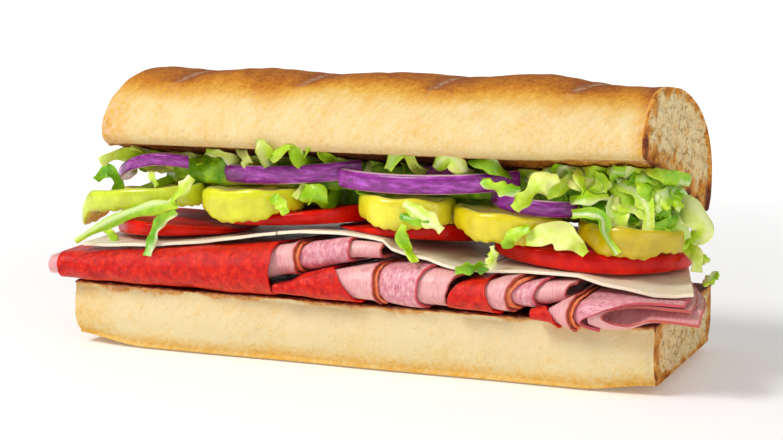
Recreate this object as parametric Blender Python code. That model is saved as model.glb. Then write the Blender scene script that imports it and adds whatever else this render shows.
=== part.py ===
import math
import random

import bmesh
import bpy
import numpy as np
from mathutils import Matrix

# Submarine sandwich, in metres, +Z up, resting on the flat base of its bottom bun.
# +X runs along the roll to its cut end, -Y is the open front where the filling shows.

MM = 0.001
GAP = 0.35 * MM

# Every height is worked out from a level this far above the flat base, then all solids are raised by it.
DATUM = 3.1 * MM

# Bottom bun.
BOTTOM_LENGTH = 200 * MM
BOTTOM_HALF_WIDTH = 38 * MM
BOTTOM_HEIGHT = 18.7 * MM
BOTTOM_BASE_HALF = 33.5 * MM
END_RISE = 2.9 * MM

# Top bun, tipped open: its underside faces down and forward.
TOP_LENGTH = 190 * MM
TOP_HALF_WIDTH = 40.5 * MM
TOP_HEIGHT = 31.5 * MM
EDGE_HEIGHT = 2.6 * MM
SCORE_RELIEF = 0.6 * MM
SCORE_PITCH = 46 * MM
TOP_CENTRE = (3.3 * MM, -1.6 * MM, 56.2 * MM)
TOP_ROLL = -19.5
TOP_PITCH = -0.5
TOP_YAW = -2.2
TOP_END_SHARE = 0.11
TOP_END_DROP = 0.05
TOP_END_DENT = 1.5 * MM

# Folded meat slices.
MEAT_THICKNESS = 0.85 * MM
MEAT_PITCH = 1.2 * MM
MEAT_STEP_BACK = 0.2
MEAT_COLUMN_LENGTH = 40.0

# Vegetables.
PEPPER_WALL = 3.0
TOMATO_SIDES = 17
PEPPER_SIDES = 20
ONION_STATIONS = 12
SHRED_THICKNESS = 0.7

# Cheese slices.
CHEESE_THICKNESS = 1.0 * MM
CHEESE_FRONT = -38.5 * MM
CHEESE_BACK = 33 * MM
CHEESE_BACK_HEIGHT = 31.6 * MM


def remove_all():
    for item in list(bpy.data.objects):
        bpy.data.objects.remove(item, do_unlink=True)


def make_material(name, colour, roughness):
    material = bpy.data.materials.new(name)
    material.use_nodes = True
    shader = material.node_tree.nodes["Principled BSDF"]
    shader.inputs["Base Color"].default_value = (colour[0], colour[1], colour[2], 1.0)
    shader.inputs["Roughness"].default_value = roughness
    shader.inputs["Metallic"].default_value = 0.0
    material.diffuse_color = (colour[0], colour[1], colour[2], 1.0)
    return material


def make_object(name, points, faces, colour, roughness):
    """One closed mesh from points and faces, with its faces turned outwards."""
    mesh = bpy.data.meshes.new(name)
    mesh.from_pydata([tuple(map(float, p)) for p in points], [], faces)
    work = bmesh.new()
    work.from_mesh(mesh)
    bmesh.ops.recalc_face_normals(work, faces=work.faces)
    work.to_mesh(mesh)
    work.free()
    item = bpy.data.objects.new(name, mesh)
    bpy.context.scene.collection.objects.link(item)
    mesh.materials.append(make_material(name + "_surface", colour, roughness))
    return item


def smooth(edge_low, edge_high, value):
    """Soft step from 0 at the low edge to 1 at the high edge."""
    t = np.clip((value - edge_low) / (edge_high - edge_low), 0.0, 1.0)
    return t * t * (3.0 - 2.0 * t)


def curve(x, knots):
    """Value at x on the straight lines through (position, value) knots given in millimetres."""
    places = [k[0] * MM for k in knots]
    values = [k[1] * MM for k in knots]
    return float(np.interp(x, places, values))


def sheet(name, outer, inner, colour, roughness):
    """Thin solid between two grids of points, both split into triangles alike."""
    rows, columns = outer.shape[:2]
    points = np.concatenate([outer.reshape(-1, 3), inner.reshape(-1, 3)])
    shift = rows * columns

    def at(i, j):
        return i * columns + j

    faces = []
    for i in range(rows - 1):
        for j in range(columns - 1):
            a, b, c, d = at(i, j), at(i + 1, j), at(i + 1, j + 1), at(i, j + 1)
            faces += [(a, b, c), (a, c, d)]
            faces += [(a + shift, c + shift, b + shift), (a + shift, d + shift, c + shift)]
    rim = [at(i, 0) for i in range(rows)]
    rim += [at(rows - 1, j) for j in range(1, columns)]
    rim += [at(i, columns - 1) for i in range(rows - 2, -1, -1)]
    rim += [at(0, j) for j in range(columns - 2, 0, -1)]
    for a, b in zip(rim, rim[1:] + rim[:1]):
        faces.append((a, b, b + shift, a + shift))
    return make_object(name, points, faces, colour, roughness)


def loft(name, stations, colour, roughness):
    """Solid through a row of closed sections, capped at both ends."""
    count, around = stations.shape[:2]
    faces = []
    for i in range(count - 1):
        for j in range(around):
            k = (j + 1) % around
            faces.append((i * around + j, (i + 1) * around + j, (i + 1) * around + k, i * around + k))
    faces.append(tuple(range(around)))
    faces.append(tuple((count - 1) * around + j for j in range(around)))
    return make_object(name, stations.reshape(-1, 3), faces, colour, roughness)


def ring(name, stations, colour, roughness):
    """Solid through sections that close on themselves in both directions."""
    count, around = stations.shape[:2]
    faces = []
    for i in range(count):
        n = (i + 1) % count
        for j in range(around):
            k = (j + 1) % around
            faces.append((i * around + j, n * around + j, n * around + k, i * around + k))
    return make_object(name, stations.reshape(-1, 3), faces, colour, roughness)


# Bottom bun: flat cut top, bulging sides and a flat base, cut square at the right end.

def build_bottom_bun():
    stations = []
    places = [-1.0, -0.985, -0.95, -0.88, -0.76, -0.45, -0.2, 0.05, 0.3, 0.55, 0.76, 0.88, 0.985, 1.0]
    for u in places:
        x = u * BOTTOM_LENGTH / 2 - 1.6 * MM * smooth(-0.9, -1.0, u)
        end = smooth(-1.0, -0.9, u)
        pinch = 0.96 + 0.04 * end
        if u > 0.98:
            pinch = 0.985
        wave = 0.6 * MM * math.sin(9.0 * u + 0.6)
        half = BOTTOM_HALF_WIDTH * pinch + wave
        lift = END_RISE * (1.0 - smooth(-1.0, -0.76, u) + smooth(0.76, 1.0, u))
        base = BOTTOM_BASE_HALF * (0.94 + 0.06 * end)
        section = [(-half + 0.8 * MM, BOTTOM_HEIGHT)]
        low = lift - DATUM
        section += [(-half, BOTTOM_HEIGHT - 2 * MM), (-half - 0.8 * MM, 10 * MM)]
        section += [(-half - 0.2 * MM, 3.6 * MM + lift * 0.4), (-half + 2.2 * MM, lift * 0.8 - 0.9 * MM)]
        section += [(-base, low), (-base * 0.4, low), (base * 0.4, low), (base, low)]
        section += [(half - 2.2 * MM, lift * 0.8 - 0.9 * MM), (half + 0.2 * MM, 3.6 * MM + lift * 0.4)]
        section += [(half + 0.8 * MM, 10 * MM), (half, BOTTOM_HEIGHT - 2 * MM)]
        section += [(half - 0.8 * MM, BOTTOM_HEIGHT), (half * 0.4, BOTTOM_HEIGHT)]
        section.append((-half * 0.4, BOTTOM_HEIGHT))
        stations.append([(x, y, z) for y, z in section])
    return loft("bun_bottom", np.array(stations), (0.90, 0.70, 0.38), 0.75)


# Top bun: domed crust over a flat cut face, with shallow slanting score marks.

def top_frame():
    """Turn of the top bun: its roll about x, then its pitch about y, then its yaw about z."""
    sin_roll, cos_roll = math.sin(math.radians(TOP_ROLL)), math.cos(math.radians(TOP_ROLL))
    sin_pitch, cos_pitch = math.sin(math.radians(TOP_PITCH)), math.cos(math.radians(TOP_PITCH))
    sin_yaw, cos_yaw = math.sin(math.radians(TOP_YAW)), math.cos(math.radians(TOP_YAW))
    about_x = np.array([[1, 0, 0], [0, cos_roll, -sin_roll], [0, sin_roll, cos_roll]])
    about_y = np.array([[cos_pitch, 0, sin_pitch], [0, 1, 0], [-sin_pitch, 0, cos_pitch]])
    about_z = np.array([[cos_yaw, -sin_yaw, 0], [sin_yaw, cos_yaw, 0], [0, 0, 1]])
    return about_z @ about_y @ about_x


def build_top_bun():
    turn = top_frame()
    stations = []
    places = np.concatenate([[-1.0, -0.985, -0.96, -0.92], np.linspace(-0.84, 0.9, 14), [0.96, 0.99, 1.0]])
    for u in places:
        x = u * TOP_LENGTH / 2
        end = min(1.0, (u + 1.0) / TOP_END_SHARE)
        rounding = math.sqrt(max(0.0, 1.0 - (1.0 - end) ** 2))
        height = TOP_HEIGHT * (0.66 + 0.34 * rounding) * (1.0 - TOP_END_DROP * smooth(0.55, 1.0, u))
        half = TOP_HALF_WIDTH * (0.9 + 0.1 * rounding)
        section = []
        for t in np.linspace(0.03, 0.97, 14):
            angle = math.pi * t
            c, s = math.cos(angle), math.sin(angle)
            y = half * math.copysign(abs(c) ** 0.77, c)
            z = height * abs(s) ** 0.77
            z *= 1.0 + 0.04 * y / half
            z -= TOP_END_DENT * smooth(0.6, 1.0, u) * math.exp(-((y / half + 0.45) / 0.3) ** 2)
            score = SCORE_RELIEF * math.sin(2 * math.pi * (x - 0.35 * y) / SCORE_PITCH)
            score *= smooth(0.35, 0.8, s)
            section.append((y, max(z + score, EDGE_HEIGHT)))
        section += [(-half + 1.0 * MM, 1.0 * MM), (-half + 3.0 * MM, 0.0), (-half * 0.35, 0.0)]
        section += [(half * 0.35, 0.0), (half - 3.0 * MM, 0.0), (half - 1.0 * MM, 1.0 * MM)]
        stations.append([(x, y, z) for y, z in section])
    points = np.array(stations) @ turn.T + np.array(TOP_CENTRE)
    return loft("bun_top", points, (0.85, 0.52, 0.16), 0.7)


# Folded meat: each slice is a hairpin, its rounded nose at the front of the sandwich and its
# two legs running back between the buns. The slices of a bundle nest and step out to the right.

# Each bundle, in millimetres along x: front of the nose, height of the nose, outer radius,
# back end of the legs, and the floor and roof of the legs there. Straight between rows.
BUNDLES = {
    "a": [
        (-109, -43.5, 24.3, 4.3, 30, 19.05, 31.2),
        (-104, -43.5, 24.6, 4.5, 30, 19.05, 31.2),
        (-86, -44.0, 25.1, 5.2, 30, 19.05, 31.2),
        (-60, -44.8, 26.2, 6.6, 30, 19.05, 31.2),
        (-48, -45.2, 26.8, 7.3, 30, 19.05, 31.2),
        (-20, -45.6, 28.3, 9.1, 30, 19.05, 31.2),
    ],
    "e": [
        (-46, -43.8, 26.9, 6.0, 28, 20.3, 29.8),
        (-40, -43.3, 27.9, 5.7, 28, 20.3, 29.8),
        (-34, -42.7, 28.9, 5.4, 28, 20.3, 29.8),
        (-25.4, -42.0, 30.4, 5.05, 28, 20.3, 29.8),
        (-23.2, -41.9, 30.9, 5.0, 24, 21.9, 31.0),
        (-19, -42.2, 31.6, 5.0, 20, 23.0, 32.3),
        (-12, -43.8, 33.3, 7.0, 14, 24.6, 34.2),
        (-3, -44.4, 35.4, 6.5, 10, 26.2, 36.0),
        (3, -44.2, 36.0, 6.3, 8, 27.3, 36.4),
        (13, -43.2, 36.0, 6.0, 8, 27.6, 36.9),
    ],
    "b": [
        (-24, -45.0, 22.4, 1.5, 30, 19.05, 21.4),
        (-18, -45.4, 23.0, 2.0, 30, 19.05, 21.8),
        (-13, -46.0, 24.6, 3.8, 30, 19.05, 22.6),
        (-6, -46.4, 25.3, 5.1, 30, 19.05, 24.4),
        (3, -46.8, 25.8, 6.2, 30, 19.05, 28.4),
        (11, -47.2, 26.3, 7.1, 30, 19.05, 30.9),
        (15, -48.6, 26.3, 9.8, 30, 19.05, 31.2),
        (21, -49.0, 26.2, 10.5, 30, 19.05, 31.2),
        (31, -49.2, 26.1, 10.7, 30, 19.05, 31.2),
        (41, -48.5, 25.6, 10.4, 30, 19.05, 31.2),
    ],
    "c": [
        (35.5, -44.6, 24.5, 4.0, 30, 19.05, 31.2),
        (47.5, -45.3, 25.1, 5.1, 30, 19.05, 31.2),
        (52.5, -45.8, 25.6, 6.4, 30, 19.05, 31.2),
        (61, -46.2, 26.1, 7.5, 30, 19.05, 31.2),
        (67, -47.0, 27.1, 8.3, 30, 19.8, 31.8),
        (77, -46.5, 28.8, 7.0, 28, 24.2, 35.8),
    ],
    "d": [
        (63, -45.5, 21.2, 1.6, 30, 19.05, 21.3),
        (67, -46.3, 21.7, 2.3, 30, 19.05, 22.4),
        (69, -46.6, 21.9, 2.8, 30, 19.05, 23.6),
        (73, -48.8, 22.1, 5.0, 30, 19.05, 26.0),
        (80, -52.4, 22.4, 8.2, 30, 19.05, 31.6),
        (86, -53.6, 22.4, 9.5, 28, 19.05, 32.0),
        (94, -53.6, 22.9, 9.3, 20, 18.0, 32.6),
        (100, -52.4, 23.8, 7.8, 14, 18.4, 33.0),
        (106, -52.2, 23.4, 7.6, 12, 18.4, 33.0),
        (115, -52.2, 23.2, 7.7, 10, 18.4, 33.0),
    ],
}

# Where the legs of the last bundle bend: they hang over the bun's front edge and lie flat behind it.
KNEES = {
    "d": [(63, 21.3), (67, 22.0), (69, 23.5), (73, 25.2), (80, 31.2), (82, 31.7), (86, 32.0),
          (94, 31.6), (100, 30.9), (115, 30.9)],
}
KNEE_PLACE = -36.6


def nested(row, depth):
    """A bundle's row seen from a slice that lies that deep in the nest."""
    x, front, height, radius, back, floor, roof = row
    nest = depth * MEAT_PITCH / MM
    front += MEAT_STEP_BACK * depth + nest
    return (x, front, height, radius - nest, back - depth, floor + nest, roof - nest)


# The long inner slice of the first nest: just inside the red slice to the left, and inside them
# all to the right.
BUNDLES["f"] = [nested(row, 1) for row in BUNDLES["a"][:4]] + [nested(row, 3) for row in BUNDLES["e"]]

RED = (0.62, 0.03, 0.015)
HAM = (0.80, 0.43, 0.42)
SALAMI = (0.85, 0.38, 0.42)
RIM = (0.72, 0.12, 0.04)

# Each slice: name, bundle, left and right end as places at the top, middle and bottom of the nose,
# depth in the nest, evenly spread rows where it has them, and colour.
SLICES = [
    ("meat_a_red", "a", (-104, -104, -104), (-24.4, -24.6, -25), 0, 0, RED),
    ("meat_a_ham", "e", (-46, -46, -46), (-16.6, -16.6, -16.4), 0, 0, HAM),
    ("meat_a_rim", "e", (-40, -40, -40), (-15.4, -15.4, -15.2), 1, 0, RIM),
    ("meat_a_salami", "e", (-34, -34, -34), (1.8, 1.6, 2.0), 2, 0, SALAMI),
    ("meat_a_inner", "f", (-108.5, -108.5, -108.5), (12.6, 11.8, 12.6), 0, 0, HAM),
    ("meat_b_red", "b", (-23.2, -23.2, -23.2), (-4, 1.5, 6), 0, 0, RED),
    ("meat_b_ham", "b", (-9, -9, -9), (12, 11.9, 12.6), 1, 0, HAM),
    ("meat_b_rim", "b", (-1, -1, -1), (13.2, 13.0, 14.0), 2, 0, RIM),
    ("meat_b_salami", "b", (3, 3, 3), (30, 26, 28), 3, 0, SALAMI),
    ("meat_b_inner", "b", (12, 12, 12), (40.3, 35.6, 35.2), 4, 0, HAM),
    ("meat_c_red", "c", (41.2, 36.6, 36.2), (48.4, 49, 52), 0, 0, RED),
    ("meat_c_ham", "c", (42, 42, 42), (58.5, 55, 56.5), 1, 0, HAM),
    ("meat_c_rim", "c", (46, 46, 46), (60.5, 56.2, 58.3), 2, 0, RIM),
    ("meat_c_salami", "c", (49, 49, 49), (67, 63.5, 65.5), 3, 0, SALAMI),
    ("meat_c_inner", "c", (55, 55, 55), (76, 73.3, 74.6), 4, 0, HAM),
    ("meat_d_red", "d", (63.2, 63.2, 63.2), (67.5, 70, 72.5), 0, 0, RED),
    ("meat_d_ham", "d", (69, 69, 69), (78.2, 75.9, 77.6), 1, 0, HAM),
    ("meat_d_rim", "d", (74.5, 74.5, 74.5), (79.2, 77.4, 78.7), 2.1, 0, RIM),
    ("meat_d_salami", "d", (77.2, 77.2, 77.2), (110, 82.2, 84.4), 3.2, 11, SALAMI),
    ("meat_d_loop", "d", (81.5, 81.5, 81.5), (112, 86.2, 114.5), 4.4, 11, HAM),
]
END_ROUNDING = 16.0


def across_nose(ends, share):
    """Place of a slice's end at a share of the way round the nose: a smooth bend through three places."""
    top, middle, bottom = ends
    return (top * (1 - share) * (1 - 2 * share) + 4 * middle * share * (1 - share)
            + bottom * share * (2 * share - 1))


# Points of a section: the back end and bend of the upper leg, seven points round the nose, and
# the bend and back end of the lower leg.
ROUND = [0, 0] + [k / 6 for k in range(7)] + [1, 1]


def hairpin_point(bundle, x, k, depth, inset):
    """Point (y, z) number k of a bundle's section at x, moved in by an inset, in millimetres."""
    rows = np.array(BUNDLES[bundle])
    values = [float(np.interp(x, rows[:, 0], rows[:, column])) for column in range(1, 7)]
    front, height, radius, back, floor, roof = values
    nest = depth * MEAT_PITCH / MM
    nose_y = front + MEAT_STEP_BACK * depth + radius
    radius -= nest
    inset *= min(MEAT_THICKNESS / MM, 0.6 * radius)
    back -= depth
    radius -= inset
    floor += nest + inset
    roof -= nest + inset
    if k in (0, 10):
        return back, (roof if k == 0 else floor)
    if k in (1, 9) and bundle in KNEES:
        knee = np.array(KNEES[bundle])
        high = float(np.interp(x, knee[:, 0], knee[:, 1])) - nest - inset
        return KNEE_PLACE, (high if k == 1 else floor)
    if k == 1:
        return (back + nose_y) / 2, (roof + height + radius) / 2
    if k == 9:
        return (back + nose_y) / 2, (floor + height - radius) / 2
    angle = math.pi * (0.5 + ROUND[k])
    return nose_y + radius * math.cos(angle), height + radius * math.sin(angle)


def build_slice(name, bundle, left, right, depth, spread, colour):
    """Sheet of a bent slice: rows at the bundle's turns between its shaped ends, or evenly spread rows."""
    low, high = max(left), min(right)
    turns = [row[0] for row in BUNDLES[bundle] if low + 0.5 < row[0] < high - 0.5]
    marks = [low] + turns + [high]
    inner_places = list(turns)
    for a, b in zip(marks, marks[1:]):
        count = math.ceil((b - a) / MEAT_COLUMN_LENGTH)
        inner_places += [a + (b - a) * n / count for n in range(1, count)]
    places = [(0.0, x) for x in sorted(inner_places)]
    if spread:
        places = [(n / (spread - 1), None) for n in range(1, spread - 1)]
    outer, inner = [], []
    for share, fixed in [(0.0, None)] + places + [(1.0, None)]:
        rows = ([], [])
        for k, turn in enumerate(ROUND):
            start, end = across_nose(left, turn), across_nose(right, turn)
            if spread and k in (0, 10):
                end = min(end, max(high, end - END_ROUNDING))
            x = fixed if fixed is not None else start + (end - start) * share
            for row, inset in zip(rows, (0.0, 1.0)):
                y, z = hairpin_point(bundle, x, k, depth, inset)
                row.append((x * MM, y * MM, z * MM))
        outer.append(rows[0])
        inner.append(rows[1])
    return sheet(name, np.array(outer), np.array(inner), colour, 0.35)


def build_meat():
    for entry in SLICES:
        build_slice(*entry)


# Cheese: thin slices that drape over the meat, higher at the front than at the back.

CHEESE_EDGE = [
    (-99, 31.0), (-97, 31.0), (-83, 31.8), (-60, 33.6), (-50, 35.0), (-38, 37.0), (-25, 39.1), (-24, 39.4),
    (-16, 40.4), (-2, 40.5), (8, 39.7), (12, 39.1), (15, 36.6), (21, 34.9), (28, 34.3), (34, 32.6),
    (38.8, 31.6), (51, 32.1), (59, 32.3), (66, 32.2), (76, 32.0), (84, 30.4),
    (92, 29.4), (100, 28.1), (106, 28.0), (114, 29.2),
]


def cheese_height(x, y):
    """Height of the cheese's underside: a front edge that rolls with the meat, easing to the back."""
    share = (CHEESE_BACK - y) / (CHEESE_BACK - CHEESE_FRONT)
    front = curve(x, CHEESE_EDGE)
    return CHEESE_BACK_HEIGHT + (front - CHEESE_BACK_HEIGHT) * share


def build_cheese(name, left, right, recede):
    """One slice between two ends along x; its right edge draws in towards the back by the recede share."""
    turns = [k[0] * MM for k in CHEESE_EDGE if left < k[0] * MM < right]
    outer, inner = [], []
    for x in [left] + turns + [right]:
        upper, lower = [], []
        for v in np.linspace(0.0, 1.0, 4):
            edge = 1.2 * MM * math.sin(x / MM * 0.11 + 0.7)
            y = (CHEESE_FRONT + edge) * (1 - v) + CHEESE_BACK * v
            place = left + (x - left) * (1.0 - recede * v)
            z = cheese_height(place, y)
            lower.append((place, y, z))
            upper.append((place, y, z + CHEESE_THICKNESS))
        outer.append(upper)
        inner.append(lower)
    return sheet(name, np.array(outer), np.array(inner), (0.80, 0.66, 0.42), 0.4)


# Tomato slices: discs of uneven thickness, shingled along the roll.

def build_tomato(name, centre, radius, top, bottom):
    """Disc between two planes, each given as height at the centre, rise along x and rise along y."""
    cx, cy = centre[0] * MM, centre[1] * MM
    profile = [(0.0, 0.0), (0.93, 0.0), (0.985, 0.12), (1.0, 0.5), (0.985, 0.88), (0.93, 1.0), (0.0, 1.0)]
    points, faces = [], []
    rows = []
    for share, level in profile:
        row = []
        for k in range(TOMATO_SIDES if share > 0 else 1):
            angle = 2 * math.pi * k / TOMATO_SIDES
            lobe = 1.0 + 0.015 * math.sin(5 * angle + cx * 900)
            x = cx + radius * MM * share * lobe * math.cos(angle)
            y = cy + radius * MM * share * lobe * math.sin(angle)
            low = bottom[0] * MM + bottom[1] * (x - cx) + bottom[2] * (y - cy)
            high = top[0] * MM + top[1] * (x - cx) + top[2] * (y - cy)
            row.append(len(points))
            points.append((x, y, low + (high - low) * level))
        rows.append(row)
    for k in range(TOMATO_SIDES):
        n = (k + 1) % TOMATO_SIDES
        faces.append((rows[0][0], rows[1][n], rows[1][k]))
        for a, b in zip(rows[1:-2], rows[2:-1]):
            faces.append((a[k], a[n], b[n], b[k]))
        faces.append((rows[-1][0], rows[-2][k], rows[-2][n]))
    return make_object(name, points, faces, (0.60, 0.015, 0.005), 0.2)


# Each slice: name, centre, radius, top plane, bottom plane.
TOMATOES = [
    ("tomato_1", (-72, -10), 24.5, (38.2, -0.08, -0.05), (34.4, 0.04, -0.035)),
    ("tomato_2", (-28, -4), 29, (43.4, 0.14, -0.05), (39.5, 0.065, -0.055)),
    ("tomato_3", (10.5, -9), 24, (41.2, 0.07, -0.06), (37.9, -0.06, -0.09)),
    ("tomato_4", (71, -5), 31.5, (38.4, -0.045, -0.03), (33.5, -0.06, 0.0)),
]


# Pepper rings: thin-walled, slightly lobed bands lying on the tomato. Onion slices: thinner bands.

# Section of a band: reach outwards in wall thicknesses, and height in half heights.
BAND_SECTION = ((-0.5, -1), (0, -0.55), (0, 0.55), (-0.5, 1), (-1.5, 0.8), (-1.5, -0.8))


def ring_points(centre, half_x, half_y, wall, height, rise, fall, lobes, swell, count,
                start=0.0, stop=360.0, droop=None, sag=0.0, drop=0.0):
    """Band sections round an ellipse, tilted by a rise along x and a fall to the back.

    A droop bends one end down, a sag bows the band along x, and a drop deepens its front edge.
    """
    closed = stop - start >= 360.0
    angles = np.linspace(start, stop, count, endpoint=not closed)
    stations = []
    for degrees in angles:
        a = math.radians(degrees)
        wobble = 1.0 + swell * math.sin(lobes * a + centre[0] * 0.3)
        section = []
        for radial, h in BAND_SECTION:
            x = centre[0] + (half_x + radial * wall) * wobble * math.cos(a)
            y = centre[1] + (half_y + radial * wall) * wobble * math.sin(a)
            z = centre[2] + h * height / 2 + rise * (x - centre[0]) - fall * (y - centre[1])
            z += swell * 6.0 * math.sin(lobes * a + 1.0) + sag * (x - centre[0]) ** 2
            if h < 0:
                z -= drop * float(smooth(-0.6, -0.95, math.sin(a)))
            if droop:
                z -= droop[1] * smooth(droop[0], droop[0] - droop[2], x)
            section.append((x * MM, y * MM, z * MM))
        stations.append(section)
    return np.array(stations)


# Each ring: name, centre, half sizes along x and y, height, rise, fall, lobes, swell, droop, drop.
PEPPERS = [
    ("pepper_1", (-82.5, -24, 46.4), 23, 12, 7.2, 0.10, 0.05, 3, 0.02, (-96.5, 5.0, 9), 0.0),
    ("pepper_2", (-39.5, -26.0, 48.6), 17.5, 13.0, 7.4, 0.03, 0.05, 5, 0.03, None, 3.2),
    ("pepper_3", (15.5, -25.5, 48.4), 16.0, 12.5, 8.0, -0.03, 0.05, 5, 0.03, None, 2.0),
    ("pepper_4", (49.5, -26.0, 45.9), 17.5, 12.8, 7.0, -0.07, 0.05, 4, 0.03, None, 2.2),
    ("pepper_5", (88.5, -23.0, 43.6), 16.5, 13.0, 6.8, -0.05, 0.05, 4, 0.025, None, 2.4),
]

# Each arc: name, centre, half sizes, wall, height, rise, fall, first and last angle, sag.
ONIONS = [
    ("onion_1", (-74, -12, 60.4), 22, 18, 2.6, 4.4, 0.08, 0.0, (172, 302), -0.014),
    ("onion_2", (-27, -8, 54.2), 32, 23, 3.0, 6.2, 0.07, 0.15, (190, 322), 0.0028),
    ("onion_3", (20, -13, 57.4), 36, 24.5, 3.0, 6.2, 0.02, 0.0, (222, 335), 0.0008),
    ("onion_4", (61, -12, 51.7), 21, 22, 3.0, 5.0, -0.04, 0.0, (202, 350), 0.002),
    ("onion_5", (24, -8, 56.0), 20, 14, 2.6, 3.0, 0.02, 0.34, (215, 325), 0.0),
]


def build_rings():
    for name, centre, half_x, half_y, height, rise, fall, lobes, swell, droop, drop in PEPPERS:
        points = ring_points(centre, half_x, half_y, PEPPER_WALL, height, rise, fall, lobes, swell,
                             PEPPER_SIDES, droop=droop, drop=drop)
        ring(name, points, (0.62, 0.60, 0.02), 0.25)
    for name, centre, half_x, half_y, wall, height, rise, fall, span, sag in ONIONS:
        points = ring_points(centre, half_x, half_y, wall, height, rise, fall, 2, 0.004, ONION_STATIONS,
                             start=span[0], stop=span[1], sag=sag)
        loft(name, points, (0.36, 0.03, 0.30), 0.25)


# Lettuce: a heap of shreds, modelled as a low core with the shreds that show fused on, and a few
# shreds that hang free. Each shred is a thin ribbon along (x, y, z, width) stations in millimetres.

LETTUCE = (0.38, 0.55, 0.03)

HEAP_STRIPS = [
    [(-93, -33, 59.1, 2.2), (-88.8, -27, 61.3, 2.7), (-82, -20, 60.2, 2.7)],
    [(-85.6, -25, 64.3, 2.2), (-82.7, -22, 62.4, 2.7), (-80, -18, 60, 2.7)],
    [(-96.6, -30, 52.4, 2.2), (-91.8, -30, 55.7, 2.7), (-89.4, -27, 51.7, 2.2), (-90.1, -24, 46.5, 2.2)],
    [(-76.5, -27, 55.7, 1.7), (-73, -30, 51.5, 1.7)],
    [(-55.9, -27, 63.7, 1.7), (-51, -25, 62.7, 2.2), (-46.7, -22, 59.6, 2.2)],
    [(-43.3, -27, 65.3, 2.2), (-40.1, -29, 62.3, 2.2), (-39.7, -27, 59.5, 2.2)],
    [(-29.5, -42, 72.5, 1.7), (-28.4, -40, 67.6, 2.7), (-31.6, -30, 61.5, 2.7)],
    [(-28.7, -33, 63.3, 2.7), (-20.1, -36, 69.1, 3.2), (-20, -31, 63.4, 3.2)],
    [(-18.5, -32, 64.9, 2.2), (-13.3, -34, 68.2, 2.7), (-11.6, -27, 63.7, 2.2)],
    [(11.8, -33, 61.3, 2.2), (17.4, -35, 69, 3.2), (20.5, -31, 62.1, 2.7)],
    [(27.3, -31, 62.4, 2.7), (33.4, -35, 66.2, 3.2), (36.3, -31, 61.6, 2.7)],
    [(38.9, -31, 65.4, 2.7), (44.5, -33, 64.7, 2.7), (49, -30, 62, 2.2)],
    [(-20.5, -28, 51.3, 3.2), (-15.2, -30, 51.8, 4.4), (-12.5, -26, 48.2, 2.7)],
    [(-22.4, -30, 50.2, 1.7), (-20.5, -27, 52.8, 1.7), (-18.3, -24, 55.9, 1.7)],
    [(0.8, -28, 53.7, 2.2), (9.6, -31, 52, 2.7), (16.1, -30, 50.9, 2.2)],
    [(64, -33, 55.7, 2.7), (68.4, -31, 58.8, 3.2), (72.9, -27, 61, 2.7)],
    [(74, -31, 62.4, 2.2), (76, -32, 57.4, 2.7), (77, -32, 52.3, 2.2)],
    [(77.3, -30, 55.1, 2.7), (80.1, -30, 58.6, 3.2), (81.4, -26, 61.6, 2.2)],
    [(82.7, -26, 59.5, 2.7), (86.2, -27, 56.1, 3.2), (89.7, -26, 53.7, 3.2)],
    [(84.6, -30, 52.8, 3.9), (86.4, -32, 49.5, 3.9), (87.8, -31, 44.5, 2.7)],
    [(84.3, -26, 59.6, 1.7), (91.9, -30, 58, 2.7), (95.9, -32, 53, 3.2), (95.3, -30, 44.8, 2.7)],
    [(90.7, -22, 59.7, 3.2), (94, -24, 58.6, 3.9), (96.4, -22, 56, 3.2)],
    [(95.8, -27, 55.1, 2.2), (100, -30, 51.8, 2.7), (97.8, -28, 45, 2.2)],
    [(97.7, -16, 52.8, 3.9), (105.4, -22, 51.6, 4.9), (110.1, -22, 47, 4.4), (106.4, -20, 41.9, 2.7)],
    [(99.8, -24, 50.9, 3.2), (102.8, -26, 47.1, 3.9), (104.9, -24, 42.7, 2.7)],
    [(103.6, -16, 40.8, 2.7), (107.3, -18, 37.6, 2.7), (108.2, -20, 33, 2.7)],
    [(105.8, -10, 35.6, 1.7), (108.4, -12, 35.8, 1.7), (110.3, -12, 35.3, 1)],
    [(65.1, -22, 53.1, 3.2), (67.6, -24, 56.6, 3.2), (74.6, -22, 58, 3.2)],
]

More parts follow.
